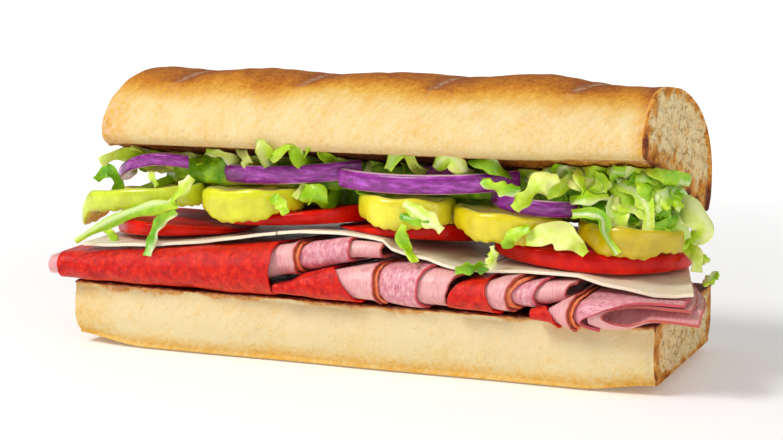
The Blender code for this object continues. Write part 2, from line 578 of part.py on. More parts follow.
# Shreds that hang free in front of the other fillings.
LOOSE_SHREDS = {
    "lettuce_shred_1": [
        [(-98.2, -41, 33, 1.7), (-88.7, -41, 38.3, 2.2), (-76.7, -40.5, 43.6, 2.7),
         (-66.6, -39.5, 46.1, 3.2), (-61.3, -37, 47, 2.7)],
        [(-63, -38, 47.1, 2.7), (-58.9, -38.5, 52, 3.2), (-55.9, -37, 56.2, 2.2)],
    ],
    "lettuce_shred_2": [
        [(-61.5, -38, 44.8, 2.2), (-65.5, -39, 42.4, 2.7), (-68.3, -39.5, 39, 2.2),
         (-69.3, -40.5, 34.7, 2.2), (-69.9, -43, 30, 3.2)],
    ],
    "lettuce_shred_3": [
        [(-91.7, -33, 36.6, 1.7), (-89.4, -33, 34.7, 2.2), (-87.1, -33, 32.1, 1.7)],
    ],
    "lettuce_shred_4": [
        [(-25.9, -39, 51.8, 2.7), (-22.6, -40, 49.8, 2.7), (-20.5, -40, 46.4, 2.2)],
    ],
    "lettuce_shred_5": [
        [(19.7, -39, 52, 2.2), (25, -40.5, 49.6, 3.2), (29.6, -40.5, 46.8, 3.2), (32.8, -40, 44.1, 2.2)],
        [(18.8, -40, 48, 1.7), (23.7, -40.5, 47.1, 2.2), (28.8, -40, 46, 2.2)],
    ],
    "lettuce_shred_6": [
        [(20.1, -40, 45.5, 2.2), (19.2, -39.5, 41, 2.7), (21.7, -40.5, 37.5, 2.7), (25, -43, 34.3, 2.2)],
    ],
    "lettuce_shred_7": [
        [(37.5, -41, 32, 1.7), (43.2, -41.5, 33.4, 2.7), (48.2, -41, 33.7, 2.7)],
        [(48.9, -39.5, 40.3, 1.7), (49.5, -40, 37, 2.2), (48.2, -41, 33.7, 2.7)],
    ],
    "lettuce_shred_8": [
        [(45.4, -39, 60.1, 2.2), (50.3, -40, 58.7, 2.7), (54.1, -40, 57.9, 2.7), (57.3, -38, 58.2, 2.2)],
    ],
    "lettuce_shred_9": [
        [(53.3, -39, 39.9, 3.2), (55.4, -39.5, 43.8, 2.7), (61.1, -39.5, 46.6, 2.2)],
        [(59.7, -39, 42.5, 3.2), (68.1, -39.5, 45.5, 5.4), (74.2, -39, 43, 4.9), (78.2, -37.5, 39.4, 2.7)],
    ],
    "lettuce_shred_10": [
        [(55.7, -38, 51.9, 3.2), (60, -38.5, 56.8, 3.9), (64.7, -38.5, 60.7, 4.4), (68.6, -36, 61.8, 3.2)],
    ],
    "lettuce_shred_11": [
        [(73.3, -36.5, 51.2, 2.2), (79.2, -37.5, 51.9, 2.7), (83.3, -37.5, 50.7, 2.7),
         (84.5, -37, 45.2, 2.2), (88.1, -37.5, 40, 2.2)],
    ],
    "lettuce_shred_12": [
        [(107.3, -6, 26.8, 1.7), (109.7, -7, 28.8, 2.2), (112.4, -8, 31, 1.7)],
    ],
}


def spline(stations, per_step):
    """Points of a smooth curve through the stations, width included."""
    knots = np.array(stations, dtype=float)
    padded = np.concatenate([[2 * knots[0] - knots[1]], knots, [2 * knots[-1] - knots[-2]]])
    points = []
    for i in range(1, len(padded) - 2):
        p0, p1, p2, p3 = padded[i - 1:i + 3]
        for k in range(per_step):
            t = k / per_step
            bend = (2 * p0 - 5 * p1 + 4 * p2 - p3) * t * t + (3 * p1 - p0 - 3 * p2 + p3) * t ** 3
            points.append(0.5 * (2 * p1 + (p2 - p0) * t + bend))
    points.append(knots[-1])
    return np.array(points)


def shred(name, stations, seed, per_step=2):
    """Thin wavy ribbon that faces the open side of the sandwich, narrower at its tips."""
    draw = random.Random(seed)
    path = spline(stations, per_step)
    places = path[:, :3]
    along = np.gradient(places, axis=0)
    along /= np.linalg.norm(along, axis=1)[:, None]
    facing = np.array([0.38, -0.9, 0.25])
    across = np.cross(along, facing)
    across /= np.linalg.norm(across, axis=1)[:, None]
    normal = np.cross(across, along)
    count = len(path)
    turn = draw.uniform(-0.5, 0.5)
    outer, inner = [], []
    wide = path[:, 3].max() > 2.6
    for i in range(count):
        angle = turn + 0.35 * math.sin(i * 1.3 + seed)
        side = across[i] * math.cos(angle) + normal[i] * math.sin(angle)
        face = normal[i] * math.cos(angle) - across[i] * math.sin(angle)
        half = 0.5 * path[i, 3] * (0.72 if i in (0, count - 1) else 1.0)
        bow = 0.22 * path[i, 3] * math.sin(i * 0.9 + seed)
        shares = (-1.0, 0.0, 1.0) if wide else (-1.0, 1.0)
        row = [places[i] + side * half * share + face * bow * (1 - abs(share)) for share in shares]
        outer.append([(q + face * SHRED_THICKNESS / 2) * MM for q in row])
        inner.append([(q - face * SHRED_THICKNESS / 2) * MM for q in row])
    return sheet(name, np.array(outer), np.array(inner), LETTUCE, 0.35)


def underside_height(x, y):
    """Height of the top bun's cut face above (x, y), in millimetres."""
    normal = top_frame()[:, 2]
    cx, cy, cz = (v / MM for v in TOP_CENTRE)
    return cz - (normal[0] * (x - cx) + normal[1] * (y - cy)) / normal[2]


def lettuce_core():
    """Low bed that fills the wedge between the vegetables and the top bun."""
    draw = random.Random(11)
    stations = []
    for x in np.linspace(-80, 101, 19):
        right = float(smooth(62, 74, x))
        front = -21.0 - 5.0 * right - 1.5 * math.sin(x * 0.21)
        low = 52.2 - 4.0 * right
        taper = 1.0 - 0.5 * float(smooth(88, 101, x)) - 0.5 * float(smooth(-70, -80, x))
        front *= taper
        back = 22.0 * taper
        section = [(front, low), (-8.5, low - 0.3), (-6.5, 44.2), (8.0, 43.0), (back, 42.4)]
        section += [(y, underside_height(x, y) - 0.9) for y in (back, 8.0, -8.0, front + 3.0)]
        section += [(front, underside_height(x, front) - 4.0)]
        rough = [(y + draw.uniform(-0.6, 0.6), z + draw.uniform(-0.5, 0.4)) for y, z in section]
        stations.append([(x * MM, y * MM, z * MM) for y, z in rough])
    return loft("lettuce_heap", np.array(stations), LETTUCE, 0.4)


def cutter_of(item, margin):
    """Copy of a solid swollen by a margin on every face, used to keep clearance and then removed."""
    mesh = item.data.copy()
    work = bmesh.new()
    work.from_mesh(mesh)
    work.normal_update()
    moves = [v.normal * margin * min(v.calc_shell_factor(), 1.6) for v in work.verts]
    for vertex, move in zip(work.verts, moves):
        vertex.co += move
    work.to_mesh(mesh)
    work.free()
    copy = bpy.data.objects.new(item.name + "_clearance", mesh)
    bpy.context.scene.collection.objects.link(copy)
    copy.hide_render = True
    copy.display_type = "WIRE"
    return copy


def apply_boolean(item, others, operation):
    """Join or subtract a group of solids, keep the result and remove the group."""
    group = bpy.data.collections.new(item.name + "_" + operation.lower())
    bpy.context.scene.collection.children.link(group)
    for other in others:
        bpy.context.scene.collection.objects.unlink(other)
        group.objects.link(other)
    change = item.modifiers.new("boolean", "BOOLEAN")
    change.operation = operation
    change.operand_type = "COLLECTION"
    change.collection = group
    change.solver = "MANIFOLD"
    view = bpy.context.evaluated_depsgraph_get()
    result = bpy.data.meshes.new_from_object(item.evaluated_get(view))
    item.modifiers.clear()
    item.data = result
    for other in others:
        bpy.data.objects.remove(other, do_unlink=True)
    bpy.data.collections.remove(group)


def keep_largest(item):
    """Drop loose scraps: only the biggest connected body stays."""
    work = bmesh.new()
    work.from_mesh(item.data)
    bmesh.ops.triangulate(work, faces=work.faces)
    work.verts.ensure_lookup_table()
    seen, bodies = set(), []
    for start in work.verts:
        if start in seen:
            continue
        body, front = {start}, [start]
        while front:
            vertex = front.pop()
            for edge in vertex.link_edges:
                other = edge.other_vert(vertex)
                if other not in body:
                    body.add(other)
                    front.append(other)
        seen |= body
        bodies.append(body)
    keep = max(bodies, key=len)
    bmesh.ops.delete(work, geom=[v for v in work.verts if v not in keep], context="VERTS")
    bmesh.ops.dissolve_degenerate(work, dist=1e-6, edges=work.edges)
    bmesh.ops.triangulate(work, faces=work.faces)
    work.to_mesh(item.data)
    work.free()


def near(item, other, reach):
    low_a, high_a = bounds_of(item)
    low_b, high_b = bounds_of(other)
    return bool(np.all(low_a < high_b + reach) and np.all(low_b < high_a + reach))


def bounds_of(item):
    points = np.array([v.co for v in item.data.vertices])
    return points.min(axis=0), points.max(axis=0)


def build_lettuce():
    neighbours = [o for o in bpy.data.objects if o.type == "MESH"]
    finished = list(neighbours)
    for order, (name, runs) in enumerate(LOOSE_SHREDS.items()):
        labels = [name] + [name + "_join"] * (len(runs) - 1)
        pieces = [shred(label, run, order + 3 * k) for k, (label, run) in enumerate(zip(labels, runs))]
        item = pieces[0]
        if len(pieces) > 1:
            apply_boolean(item, pieces[1:], "UNION")
        cutters = [cutter_of(o, GAP) for o in finished if near(item, o, GAP)]
        if cutters:
            apply_boolean(item, cutters, "DIFFERENCE")
        keep_largest(item)
        finished.append(item)
    heap = lettuce_core()
    strips = []
    for k, run in enumerate(HEAP_STRIPS):
        inward = run if run[-1][1] >= run[0][1] else run[::-1]
        last = inward[-1]
        root_z = min(max(last[2], 53.0), underside_height(last[0], -12.0) - 2.5)
        root = (min(max(last[0], -74.0), 95.0), -12.0, root_z, last[3])
        strips.append(shred("strip_%d" % k, inward + [root], 20 + k))
    apply_boolean(heap, strips, "UNION")
    cutters = [cutter_of(o, GAP) for o in finished if near(heap, o, GAP)]
    apply_boolean(heap, cutters, "DIFFERENCE")
    keep_largest(heap)


def main():
    remove_all()
    build_bottom_bun()
    build_top_bun()
    build_meat()
    build_cheese("cheese_1", -98 * MM, -24.5 * MM, 0.0)
    build_cheese("cheese_2", -23.5 * MM, 45 * MM, 0.0)
    build_cheese("cheese_3", 46 * MM, 111.5 * MM, 0.3)
    for entry in TOMATOES:
        build_tomato(*entry)
    build_rings()
    build_lettuce()
    for item in bpy.data.objects:
        item.data.transform(Matrix.Translation((0.0, 0.0, DATUM)))


main()
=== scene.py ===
import math

import bmesh
import bpy
import numpy as np
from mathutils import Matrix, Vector


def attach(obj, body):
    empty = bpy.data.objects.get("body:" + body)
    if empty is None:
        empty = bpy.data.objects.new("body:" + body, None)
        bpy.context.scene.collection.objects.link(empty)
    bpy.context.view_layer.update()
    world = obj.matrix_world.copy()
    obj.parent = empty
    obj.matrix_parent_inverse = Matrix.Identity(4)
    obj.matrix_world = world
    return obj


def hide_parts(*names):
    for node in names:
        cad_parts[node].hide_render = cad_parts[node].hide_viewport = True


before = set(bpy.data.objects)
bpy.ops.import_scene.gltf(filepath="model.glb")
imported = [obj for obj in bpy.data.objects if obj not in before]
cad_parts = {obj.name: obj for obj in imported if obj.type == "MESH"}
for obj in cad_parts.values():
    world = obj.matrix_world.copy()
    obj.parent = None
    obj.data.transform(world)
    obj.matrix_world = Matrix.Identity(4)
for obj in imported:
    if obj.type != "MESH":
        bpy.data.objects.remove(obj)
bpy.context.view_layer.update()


# Camera, studio light and floor. The camera stands a little to the right of the open front and
# looks slightly down. A large soft light hangs above the left of the front, over a white floor.

CAMERA_PLACE = (0.2325, -0.5681, 0.1360)
CAMERA_TARGET = (-0.0005, 0.0, 0.0431)
CAMERA_LENS = 85.06
SENSOR_WIDTH = 36.0
FLOOR_HALF = 6.0
FLOOR_DROP = 0.0002
WORLD_STRENGTH = 0.45
# The floor glows faintly near the sandwich and more with the distance, so that it turns white.
FLOOR_GLOW = (0.13, 0.58)
FLOOR_GLOW_REACH = (0.12, 0.75)
# Each light: place, size, power and colour.
LIGHTS = {
    "key_light": ((-0.55, -0.75, 0.95), 0.45, 11.0, (1.0, 0.985, 0.965)),
    "fill_light": ((0.9, -0.7, 0.45), 0.8, 2.2, (1.0, 0.99, 0.98)),
}
LIGHT_TARGET = (0, 0, 0.04)
WHITE = (1.0, 1.0, 1.0, 1.0)

studio = bpy.context.scene
studio.view_settings.view_transform = "Standard"


def set_up(name, data, place, target):
    """Camera or light at a place, turned towards a target."""
    holder = bpy.data.objects.new(name, data)
    holder.location = place
    holder.rotation_euler = (Vector(target) - Vector(place)).to_track_quat("-Z", "Y").to_euler()
    studio.collection.objects.link(holder)
    return holder


def feed(tree, socket, value):
    """Joins a socket to another one, or gives it a value of its own."""
    if isinstance(value, bpy.types.NodeSocket):
        tree.links.new(value, socket)
    else:
        socket.default_value = value


def node(tree, kind, settings=None, **inputs):
    """New shader node with its settings and inputs; an underscore in an input's name is a space."""
    made = tree.nodes.new("ShaderNode" + kind)
    for key, value in (settings or {}).items():
        setattr(made, key, value)
    for key, value in inputs.items():
        feed(tree, made.inputs[key.replace("_", " ")], value)
    return made


def calc(tree, operation, a, b=0.0, clamp=False):
    """One sum, product or other step of arithmetic on two values."""
    made = node(tree, "Math", {"operation": operation, "use_clamp": clamp})
    feed(tree, made.inputs[0], a)
    feed(tree, made.inputs[1], b)
    return made.outputs[0]


def new_finish(name, **settings):
    """New material: its node tree and its shader, with the settings that are the same all over."""
    made = bpy.data.materials.new(name)
    made.use_nodes = True
    shader = made.node_tree.nodes["Principled BSDF"]
    for key, value in settings.items():
        shader.inputs[key.replace("_", " ")].default_value = value
    return made, made.node_tree, shader


studio.camera = set_up("camera", bpy.data.cameras.new("camera"), CAMERA_PLACE, CAMERA_TARGET)
studio.camera.data.lens = CAMERA_LENS
studio.camera.data.sensor_width = SENSOR_WIDTH
for name, (place, size, power, colour) in LIGHTS.items():
    light = set_up(name, bpy.data.lights.new(name, "AREA"), place, LIGHT_TARGET).data
    light.size, light.energy, light.color = size, power, colour

studio.world = bpy.data.worlds.new("studio")
studio.world.use_nodes = True
sky = studio.world.node_tree
backdrop = sky.nodes["Background"].inputs
backdrop["Color"].default_value = WHITE
camera_rays = node(sky, "LightPath").outputs["Is Camera Ray"]
feed(sky, backdrop["Strength"], calc(sky, "MAXIMUM", camera_rays, WORLD_STRENGTH))

floor_mesh = bpy.data.meshes.new("floor")
floor_corners = [(x * FLOOR_HALF, y * FLOOR_HALF, -FLOOR_DROP)
                 for x, y in ((-1, -1), (1, -1), (1, 1), (-1, 1))]
floor_mesh.from_pydata(floor_corners, [], [(0, 1, 2, 3)])
floor = bpy.data.objects.new("floor", floor_mesh)
studio.collection.objects.link(floor)
floor_finish, tree, shader = new_finish("floor_white", Base_Color=(0.95, 0.95, 0.95, 1.0), Roughness=0.7,
                                        Specular_IOR_Level=0.2, Emission_Color=WHITE)
distance = node(tree, "VectorMath", {"operation": "LENGTH"}, Vector=node(tree, "TexCoord").outputs["Object"])
glow = node(tree, "MapRange", {"interpolation_type": "SMOOTHSTEP"}, Value=distance.outputs["Value"],
            From_Min=FLOOR_GLOW_REACH[0], From_Max=FLOOR_GLOW_REACH[1],
            To_Min=FLOOR_GLOW[0], To_Max=FLOOR_GLOW[1])
feed(tree, shader.inputs["Emission Strength"], glow.outputs["Result"])
floor_mesh.materials.append(floor_finish)


# Bottom half of the roll: baked white bread, sliced lengthwise from the top half with a knife and
# toasted on its cut face. Its right end is cut square, its left end keeps the crust.

MM = 0.001
# Heights are measured from a level this far above the floor: it is where the roll's ends curve up to.
DATUM = 3.1 * MM
BOTTOM_LENGTH = 200 * MM
BOTTOM_HALF_WIDTH = 38 * MM
BOTTOM_HEIGHT = 18.7 * MM
BOTTOM_BASE_HALF = 33.5 * MM
CAP_RINGS = 26


def soft_step(low, high, value):
    """0 below low, 1 above high, and a smooth S between them."""
    t = np.clip((value - low) / (high - low), 0.0, 1.0)
    return t * t * (3.0 - 2.0 * t)


def waves(points, size, seed, count=20):
    """Uneven relief of about -1 to 1: a sum of plane waves near that size in metres, each with its own
    seeded direction, length and phase."""
    draw = np.random.default_rng(seed)
    turn = draw.normal(size=(count, 3))
    turn /= np.linalg.norm(turn, axis=1)[:, None]
    turn *= 2 * np.pi / (size * draw.uniform(0.7, 1.6, count))[:, None]
    phase = draw.uniform(0, 2 * np.pi, count)
    return np.sin(points @ turn.T + phase).sum(axis=-1) / math.sqrt(1.6 * count)


def between(before, start, end, after, t):
    """Cubic from start to end whose slope at a knot is half the step between the knot's neighbours."""
    square, cube = 2 * before - 5 * start + 4 * end - after, 3 * start - before - 3 * end + after
    return 0.5 * (2 * start + (end - before) * t + (square * t ** 2 + cube * t ** 3))


def smooth_loop(knots, per_knot):
    """Closed smooth curves through rows of knots, in cubic pieces."""
    count = knots.shape[1]
    place = np.arange(count * per_knot) / per_knot
    k = np.floor(place).astype(int)
    t = (place - k)[None, :, None]
    return between(*(knots[:, (k + step) % count] for step in (-1, 0, 1, 2)), t)


def closed_rows(rows):
    """Rows of rings as one closed skin: each ring meets its own first point, and each end ring is drawn
    in to its middle in even steps."""
    rows = np.concatenate([rows, rows[:, :1]], axis=1)
    share = np.linspace(1.0, 0.0, CAP_RINGS + 1)[1:, None, None]
    first, last = rows[0].mean(axis=0), rows[-1].mean(axis=0)
    left = (first + (rows[0] - first) * share)[::-1]
    right = last + (rows[-1] - last) * share
    return np.concatenate([left, rows, right])


def cap_shares(rows, columns):
    """Of a closed skin with that many rows between its ends: the share of the way out from the middle of
    an end, which is 1 on the rows between, then 1 on the left end alone, then 1 on the right end alone."""
    ring = np.concatenate([np.linspace(0, 1, CAP_RINGS, endpoint=False), np.ones(rows),
                           np.linspace(1, 0, CAP_RINGS + 1)[1:]])[:, None] * np.ones(columns)
    number = np.arange(rows + 2 * CAP_RINGS)[:, None] * np.ones(columns)
    return ring, (number < CAP_RINGS) * 1.0, (number >= CAP_RINGS + rows - 2) * 1.0


def piece(name, patches, masks, finish, nodes, crease=40.0):
    """One closed mesh from grids of points: points that coincide are welded, squares are cut into two
    triangles, flat ones are dropped, and all faces are turned outwards. Masks are numbers per point."""
    points, triangles, start = [], [], 0
    for grid in patches:
        rows, columns = grid.shape[:2]
        index = start + np.arange(rows * columns).reshape(rows, columns)
        a, b, c, d = index[:-1, :-1], index[1:, :-1], index[1:, 1:], index[:-1, 1:]
        triangles += [np.stack([a, b, c], -1).reshape(-1, 3), np.stack([a, c, d], -1).reshape(-1, 3)]
        points.append(grid.reshape(-1, 3))
        start += rows * columns
    points, triangles = np.concatenate(points) + [0, 0, DATUM], np.concatenate(triangles)
    keys = np.round(points / (0.002 * MM)).astype(np.int64)
    order, kept, where = np.unique(keys, axis=0, return_index=True, return_inverse=True)
    triangles = where.reshape(-1)[triangles]
    flat = (triangles[:, 0] == triangles[:, 1]) | (triangles[:, 1] == triangles[:, 2])
    triangles = triangles[~(flat | (triangles[:, 2] == triangles[:, 0]))]
    mesh = bpy.data.meshes.new(name)
    mesh.vertices.add(len(kept))
    mesh.vertices.foreach_set("co", points[kept].astype(np.float32).ravel())
    mesh.loops.add(triangles.size)
    mesh.loops.foreach_set("vertex_index", triangles.astype(np.int32).ravel())
    mesh.polygons.add(len(triangles))
    mesh.polygons.foreach_set("loop_start", np.arange(0, triangles.size, 3, dtype=np.int32))
    mesh.update(calc_edges=True)
    for mask, values in masks.items():
        values = np.concatenate([np.asarray(v, dtype=np.float32).reshape(grid.shape[0] * grid.shape[1], -1)
                                 for v, grid in zip(values, patches)])[kept]
        kind, field = ("FLOAT", "value") if values.shape[1] == 1 else ("FLOAT_VECTOR", "vector")
        mesh.attributes.new(mask, kind, "POINT").data.foreach_set(field, values.ravel())
    work = bmesh.new()
    work.from_mesh(mesh)
    bmesh.ops.recalc_face_normals(work, faces=work.faces)
    work.to_mesh(mesh)
    work.free()
    mesh.polygons.foreach_set("use_smooth", np.ones(len(mesh.polygons), dtype=bool))
    mesh.set_sharp_from_angle(angle=math.radians(crease))
    mesh.materials.append(finish)
    made = bpy.data.objects.new(name, mesh)
    studio.collection.objects.link(made)
    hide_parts(*nodes)
    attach(made, "root")


def colour_mix(tree, share, a, b):
    """Colour a turned into colour b by a share."""
    made = node(tree, "Mix", {"data_type": "RGBA", "clamp_factor": True})
    for slot, value in ((0, share), (6, a), (7, b)):
        feed(tree, made.inputs[slot], value)
    return made.outputs[2]


def colours(tree, value, *stops):
    """Colour that follows a value through stops of (value, colour)."""
    made = node(tree, "ValToRGB", None, Fac=value)
    bar = made.color_ramp
    bar.elements[0].position, bar.elements[0].color = stops[0][0], (*stops[0][1], 1.0)
    bar.elements[1].position, bar.elements[1].color = stops[-1][0], (*stops[-1][1], 1.0)
    for place, colour in stops[1:-1]:
        bar.elements.new(place).color = (*colour, 1.0)
    return made.outputs[0]


def levels(tree, value, low, high):
    """0 where a value is under low, 1 over high, straight between them."""
    return node(tree, "MapRange", None, Value=value, From_Min=low, From_Max=high).outputs[0]


def noise(tree, place, size, detail=3.0, roughness=0.55, stretch=None):
    """Cloudy noise with patches of about that size; a stretch squeezes it along an axis."""
    if stretch:
        place = node(tree, "Mapping", None, Vector=place, Scale=stretch).outputs[0]
    made = node(tree, "TexNoise", None, Vector=place, Scale=1.0 / size, Detail=detail, Roughness=roughness)
    return made.outputs[0]


def cells(tree, place, size):
    """Distance to the nearest of many scattered points about that size apart."""
    return node(tree, "TexVoronoi", None, Vector=place, Scale=1.0 / size).outputs[0]


def own_place(tree):
    """Place on the piece, in metres."""
    return node(tree, "TexCoord").outputs["Object"]


def mask(tree, name):
    """Value of one of the piece's own masks."""
    return node(tree, "Attribute", {"attribute_name": name}).outputs["Fac"]


def new_group(name, inputs, outputs):
    """Empty node group: its inputs are numbers with their first values, its outputs have a kind each."""
    tree = bpy.data.node_groups.new(name, "ShaderNodeTree")
    for label, value in inputs.items():
        tree.interface.new_socket(label, in_out="INPUT", socket_type="NodeSocketFloat").default_value = value
    for label, kind in outputs.items():
        tree.interface.new_socket(label, in_out="OUTPUT", socket_type="NodeSocket" + kind)
    return tree, tree.nodes.new("NodeGroupInput").outputs, tree.nodes.new("NodeGroupOutput").inputs


def put_group(tree, group, **inputs):
    """Puts a node group in a material's tree, feeds its inputs and gives its outputs."""
    return node(tree, "Group", {"node_tree": group}, **inputs).outputs


def bump(tree, shader, height, depth):
    """Fine relief of that depth in metres on the shader's normal."""
    made = node(tree, "Bump", None, Strength=1.0, Distance=depth, Height=height)
    tree.links.new(made.outputs[0], shader.inputs["Normal"])


# Baked bread as one group for both halves: crust that runs from cream to brown, open crumb with pores,
# and toasted specks along the cuts. The crust's creases and the open pores are darkened with painted shade.
BREAD_MASKS = ("Browning", "Crumb", "Toast", "Flour")
BREAD_RELIEF = 0.55 * MM

bread, bread_in, bread_out = new_group("baked_bread", dict.fromkeys(BREAD_MASKS, 0.0),
                                       {"Colour": "Color", "Roughness": "Float", "Height": "Float"})
spot = own_place(bread)
blotches = noise(bread, spot, 12 * MM, 4.0)
slanted = node(bread, "Mapping", {"vector_type": "TEXTURE"}, Vector=spot, Rotation=(0, -0.85, 0.55),
               Scale=(2.6, 1.0, 0.75)).outputs[0]
streaks = noise(bread, slanted, 2.2 * MM, 5.0, 0.65)
grains = noise(bread, spot, 0.55 * MM, 4.0, 0.7)
flecks = noise(bread, spot, 1.6 * MM, 4.0, 0.7)
creases = levels(bread, noise(bread, slanted, 1.6 * MM, 4.0, 0.6), 0.64, 0.76)
browned = bread_in["Browning"]
for cloud, amount in ((blotches, 0.42), (streaks, 0.46), (flecks, 0.52), (grains, 0.55)):
    change = calc(bread, "MULTIPLY", calc(bread, "SUBTRACT", cloud, 0.5), amount)
    browned = calc(bread, "ADD", browned, change)
# Painted shade: the crust is browned a little more in its creases, where the relief below dents it.
browned = calc(bread, "ADD", browned, calc(bread, "MULTIPLY", creases, 0.12), True)
crust = colours(bread, browned, (0.0, (0.80, 0.67, 0.37)), (0.2, (0.80, 0.58, 0.22)),
                (0.42, (0.76, 0.41, 0.05)),
                (0.7, (0.60, 0.21, 0.006)), (1.0, (0.30, 0.07, 0.003)))
hollows = noise(bread, spot, 1.7 * MM, 4.0, 0.65)
open_pores = levels(bread, hollows, 0.56, 0.66)
crumb_tone = colours(bread, noise(bread, spot, 4 * MM, 4.0), (0.3, (0.80, 0.58, 0.25)),
                     (0.7, (0.92, 0.74, 0.42)))
# Painted shade: the crumb is darkened towards brown in the open pores, as shade inside the holes.
crumb_tone = colour_mix(bread, calc(bread, "MULTIPLY", open_pores, 0.55), crumb_tone,
                        (0.66, 0.38, 0.11, 1.0))
inside = colour_mix(bread, bread_in["Crumb"], crust, crumb_tone)
scorch = noise(bread, spot, 2.4 * MM, 5.0, 0.72)
toasted = calc(bread, "MULTIPLY", bread_in["Toast"], 1.9)
toasted = calc(bread, "SUBTRACT", toasted, calc(bread, "MULTIPLY", scorch, 1.5))
toasted = calc(bread, "ADD", toasted, 0.22, True)
toast_tone = colours(bread, toasted, (0.0, (0.80, 0.44, 0.10)), (0.4, (0.72, 0.30, 0.030)),
                     (0.75, (0.42, 0.11, 0.006)),
                     (1.0, (0.14, 0.026, 0.003)))
inside = colour_mix(bread, levels(bread, toasted, 0.0, 0.35), inside, toast_tone)
dust = calc(bread, "MULTIPLY", bread_in["Flour"], levels(bread, flecks, 0.38, 0.62))
inside = colour_mix(bread, dust, inside, (0.90, 0.76, 0.52, 1.0))
feed(bread, bread_out["Colour"], inside)
feed(bread, bread_out["Roughness"], levels(bread, grains, -1.2, 1.1))
relief = calc(bread, "ADD", calc(bread, "MULTIPLY", grains, 0.50), calc(bread, "MULTIPLY", streaks, 0.7))
relief = calc(bread, "SUBTRACT", relief, calc(bread, "MULTIPLY", creases, 0.35))
holes = calc(bread, "MULTIPLY", calc(bread, "MULTIPLY", open_pores, bread_in["Crumb"]), -0.9)
feed(bread, bread_out["Height"], calc(bread, "ADD", relief, holes))


def bread_finish(name):
    """Material for one half of the roll, from its four masks."""
    made, tree, shader = new_finish(name, Specular_IOR_Level=0.35)
    baked = put_group(tree, bread, **{label: mask(tree, label.lower()) for label in BREAD_MASKS})
    feed(tree, shader.inputs["Base Color"], baked["Colour"])
    feed(tree, shader.inputs["Roughness"], baked["Roughness"])
    bump(tree, shader, baked["Height"], BREAD_RELIEF)
    return made


def bottom_roll():
    """Sections along the roll: flat top, bulging sides and flat base, through sixteen smoothed knots. The
    skin moves out and in by waves, most along the torn upper edge."""
    along = np.concatenate([np.linspace(-1, -0.9, 24), np.linspace(-0.89, 0.985, 290),
                            np.linspace(0.988, 1, 8)])
    end = soft_step(-1.0, -0.9, along)
    pinch = np.where(along > 0.98, 0.985, 0.96 + 0.04 * end)
    half = BOTTOM_HALF_WIDTH * pinch + 0.6 * MM * np.sin(9.0 * along + 0.6)
    lift = 2.9 * MM * (1.0 - soft_step(-1.0, -0.76, along) + soft_step(0.76, 1.0, along))
    base = BOTTOM_BASE_HALF * (0.94 + 0.06 * end)
    top = np.full_like(along, BOTTOM_HEIGHT)
    left = [(-half + 0.8 * MM, top), (-half, top - 2 * MM), (-half - 0.8 * MM, top * 0 + 10 * MM),
            (-half - 0.2 * MM, 3.6 * MM + lift * 0.4), (-half + 2.2 * MM, -0.9 * MM + lift * 0.8),
            (-base, lift - DATUM), (-base * 0.4, lift - DATUM)]
    right = [(-y, z) for y, z in left[::-1]]
    knots = np.array(left + right + [(half * 0.4, top), (-half * 0.4, top)]).transpose(2, 0, 1)
    section = smooth_loop(knots, 12)
    place = along * BOTTOM_LENGTH / 2 - 1.6 * MM * soft_step(-0.9, -1.0, along)
    rows = np.concatenate([np.broadcast_to(place[:, None, None], section.shape[:2] + (1,)), section], axis=2)
    rows[..., 2] = np.clip(rows[..., 2], -DATUM, BOTTOM_HEIGHT)
    skin = closed_rows(rows)
    ring, left_cap, right_cap = cap_shares(len(along), skin.shape[1])
    x, y, z = skin[..., 0], skin[..., 1], skin[..., 2]
    flat_top = (z > BOTTOM_HEIGHT - 0.05 * MM) & (ring > 0.999)
    side = 1.0 - np.maximum(right_cap, flat_top)
    lip = np.exp(-((z - BOTTOM_HEIGHT) / (1.5 * MM)) ** 2) * (ring > 0.999)
    swell = 0.45 * waves(skin, 26 * MM, 3) + 0.16 * waves(skin, 6 * MM, 4)
    swell = swell * MM * soft_step(-2 * MM, 3 * MM, z)
    crags = (0.30 * waves(skin, 2.6 * MM, 5) + 0.22 * waves(skin, 1.3 * MM, 6)) * MM * lip
    outward = np.stack([x * 0, np.sign(y) * side, x * 0], axis=-1)
    skin = skin + outward * (swell + crags)[..., None]
    skin[..., 2] += 0.5 * crags * (z > 12 * MM)
    ragged = 0.5 * waves(skin, 7 * MM, 7) + 0.25 * waves(skin, 2 * MM, 8)
    skin[..., 0] += right_cap * ragged * MM * (ring < 0.999)
    skin[..., 0] -= left_cap * 1.6 * MM * (1.0 - ring ** 2)
    skin[..., 2] = np.maximum(skin[..., 2], -DATUM)
    golden = 0.03 + soft_step(4 * MM, -2 * MM, z) * 0.30 + 0.22 * soft_step(-84 * MM, -100 * MM, x)
    golden += 0.22 * soft_step(84 * MM, 100 * MM, x) * soft_step(12 * MM, 0, z)
    crumb = np.maximum(right_cap * (ring < 0.97), flat_top)
    reach = (1.9 + 1.3 * waves(skin, 9 * MM, 9)) * MM
    lip = np.exp(-((z - BOTTOM_HEIGHT) / np.maximum(reach, 0.4 * MM)) ** 2) * (ring > 0.999)
    cut_end = right_cap * (0.34 * soft_step(0.6, 1.0, ring) + 0.22 + 0.12 * waves(skin, 7 * MM, 10))
    toast = np.clip(0.66 * lip + 0.34 * flat_top + cut_end, 0, 1)
    flour = 0.30 * soft_step(3 * MM, 12 * MM, z) * side
    return skin, {"browning": [golden * side], "crumb": [crumb], "toast": [toast], "flour": [flour]}


skin, masks = bottom_roll()
piece("roll_bottom", [skin], masks, bread_finish("bread_bottom"), ["bun_bottom"])
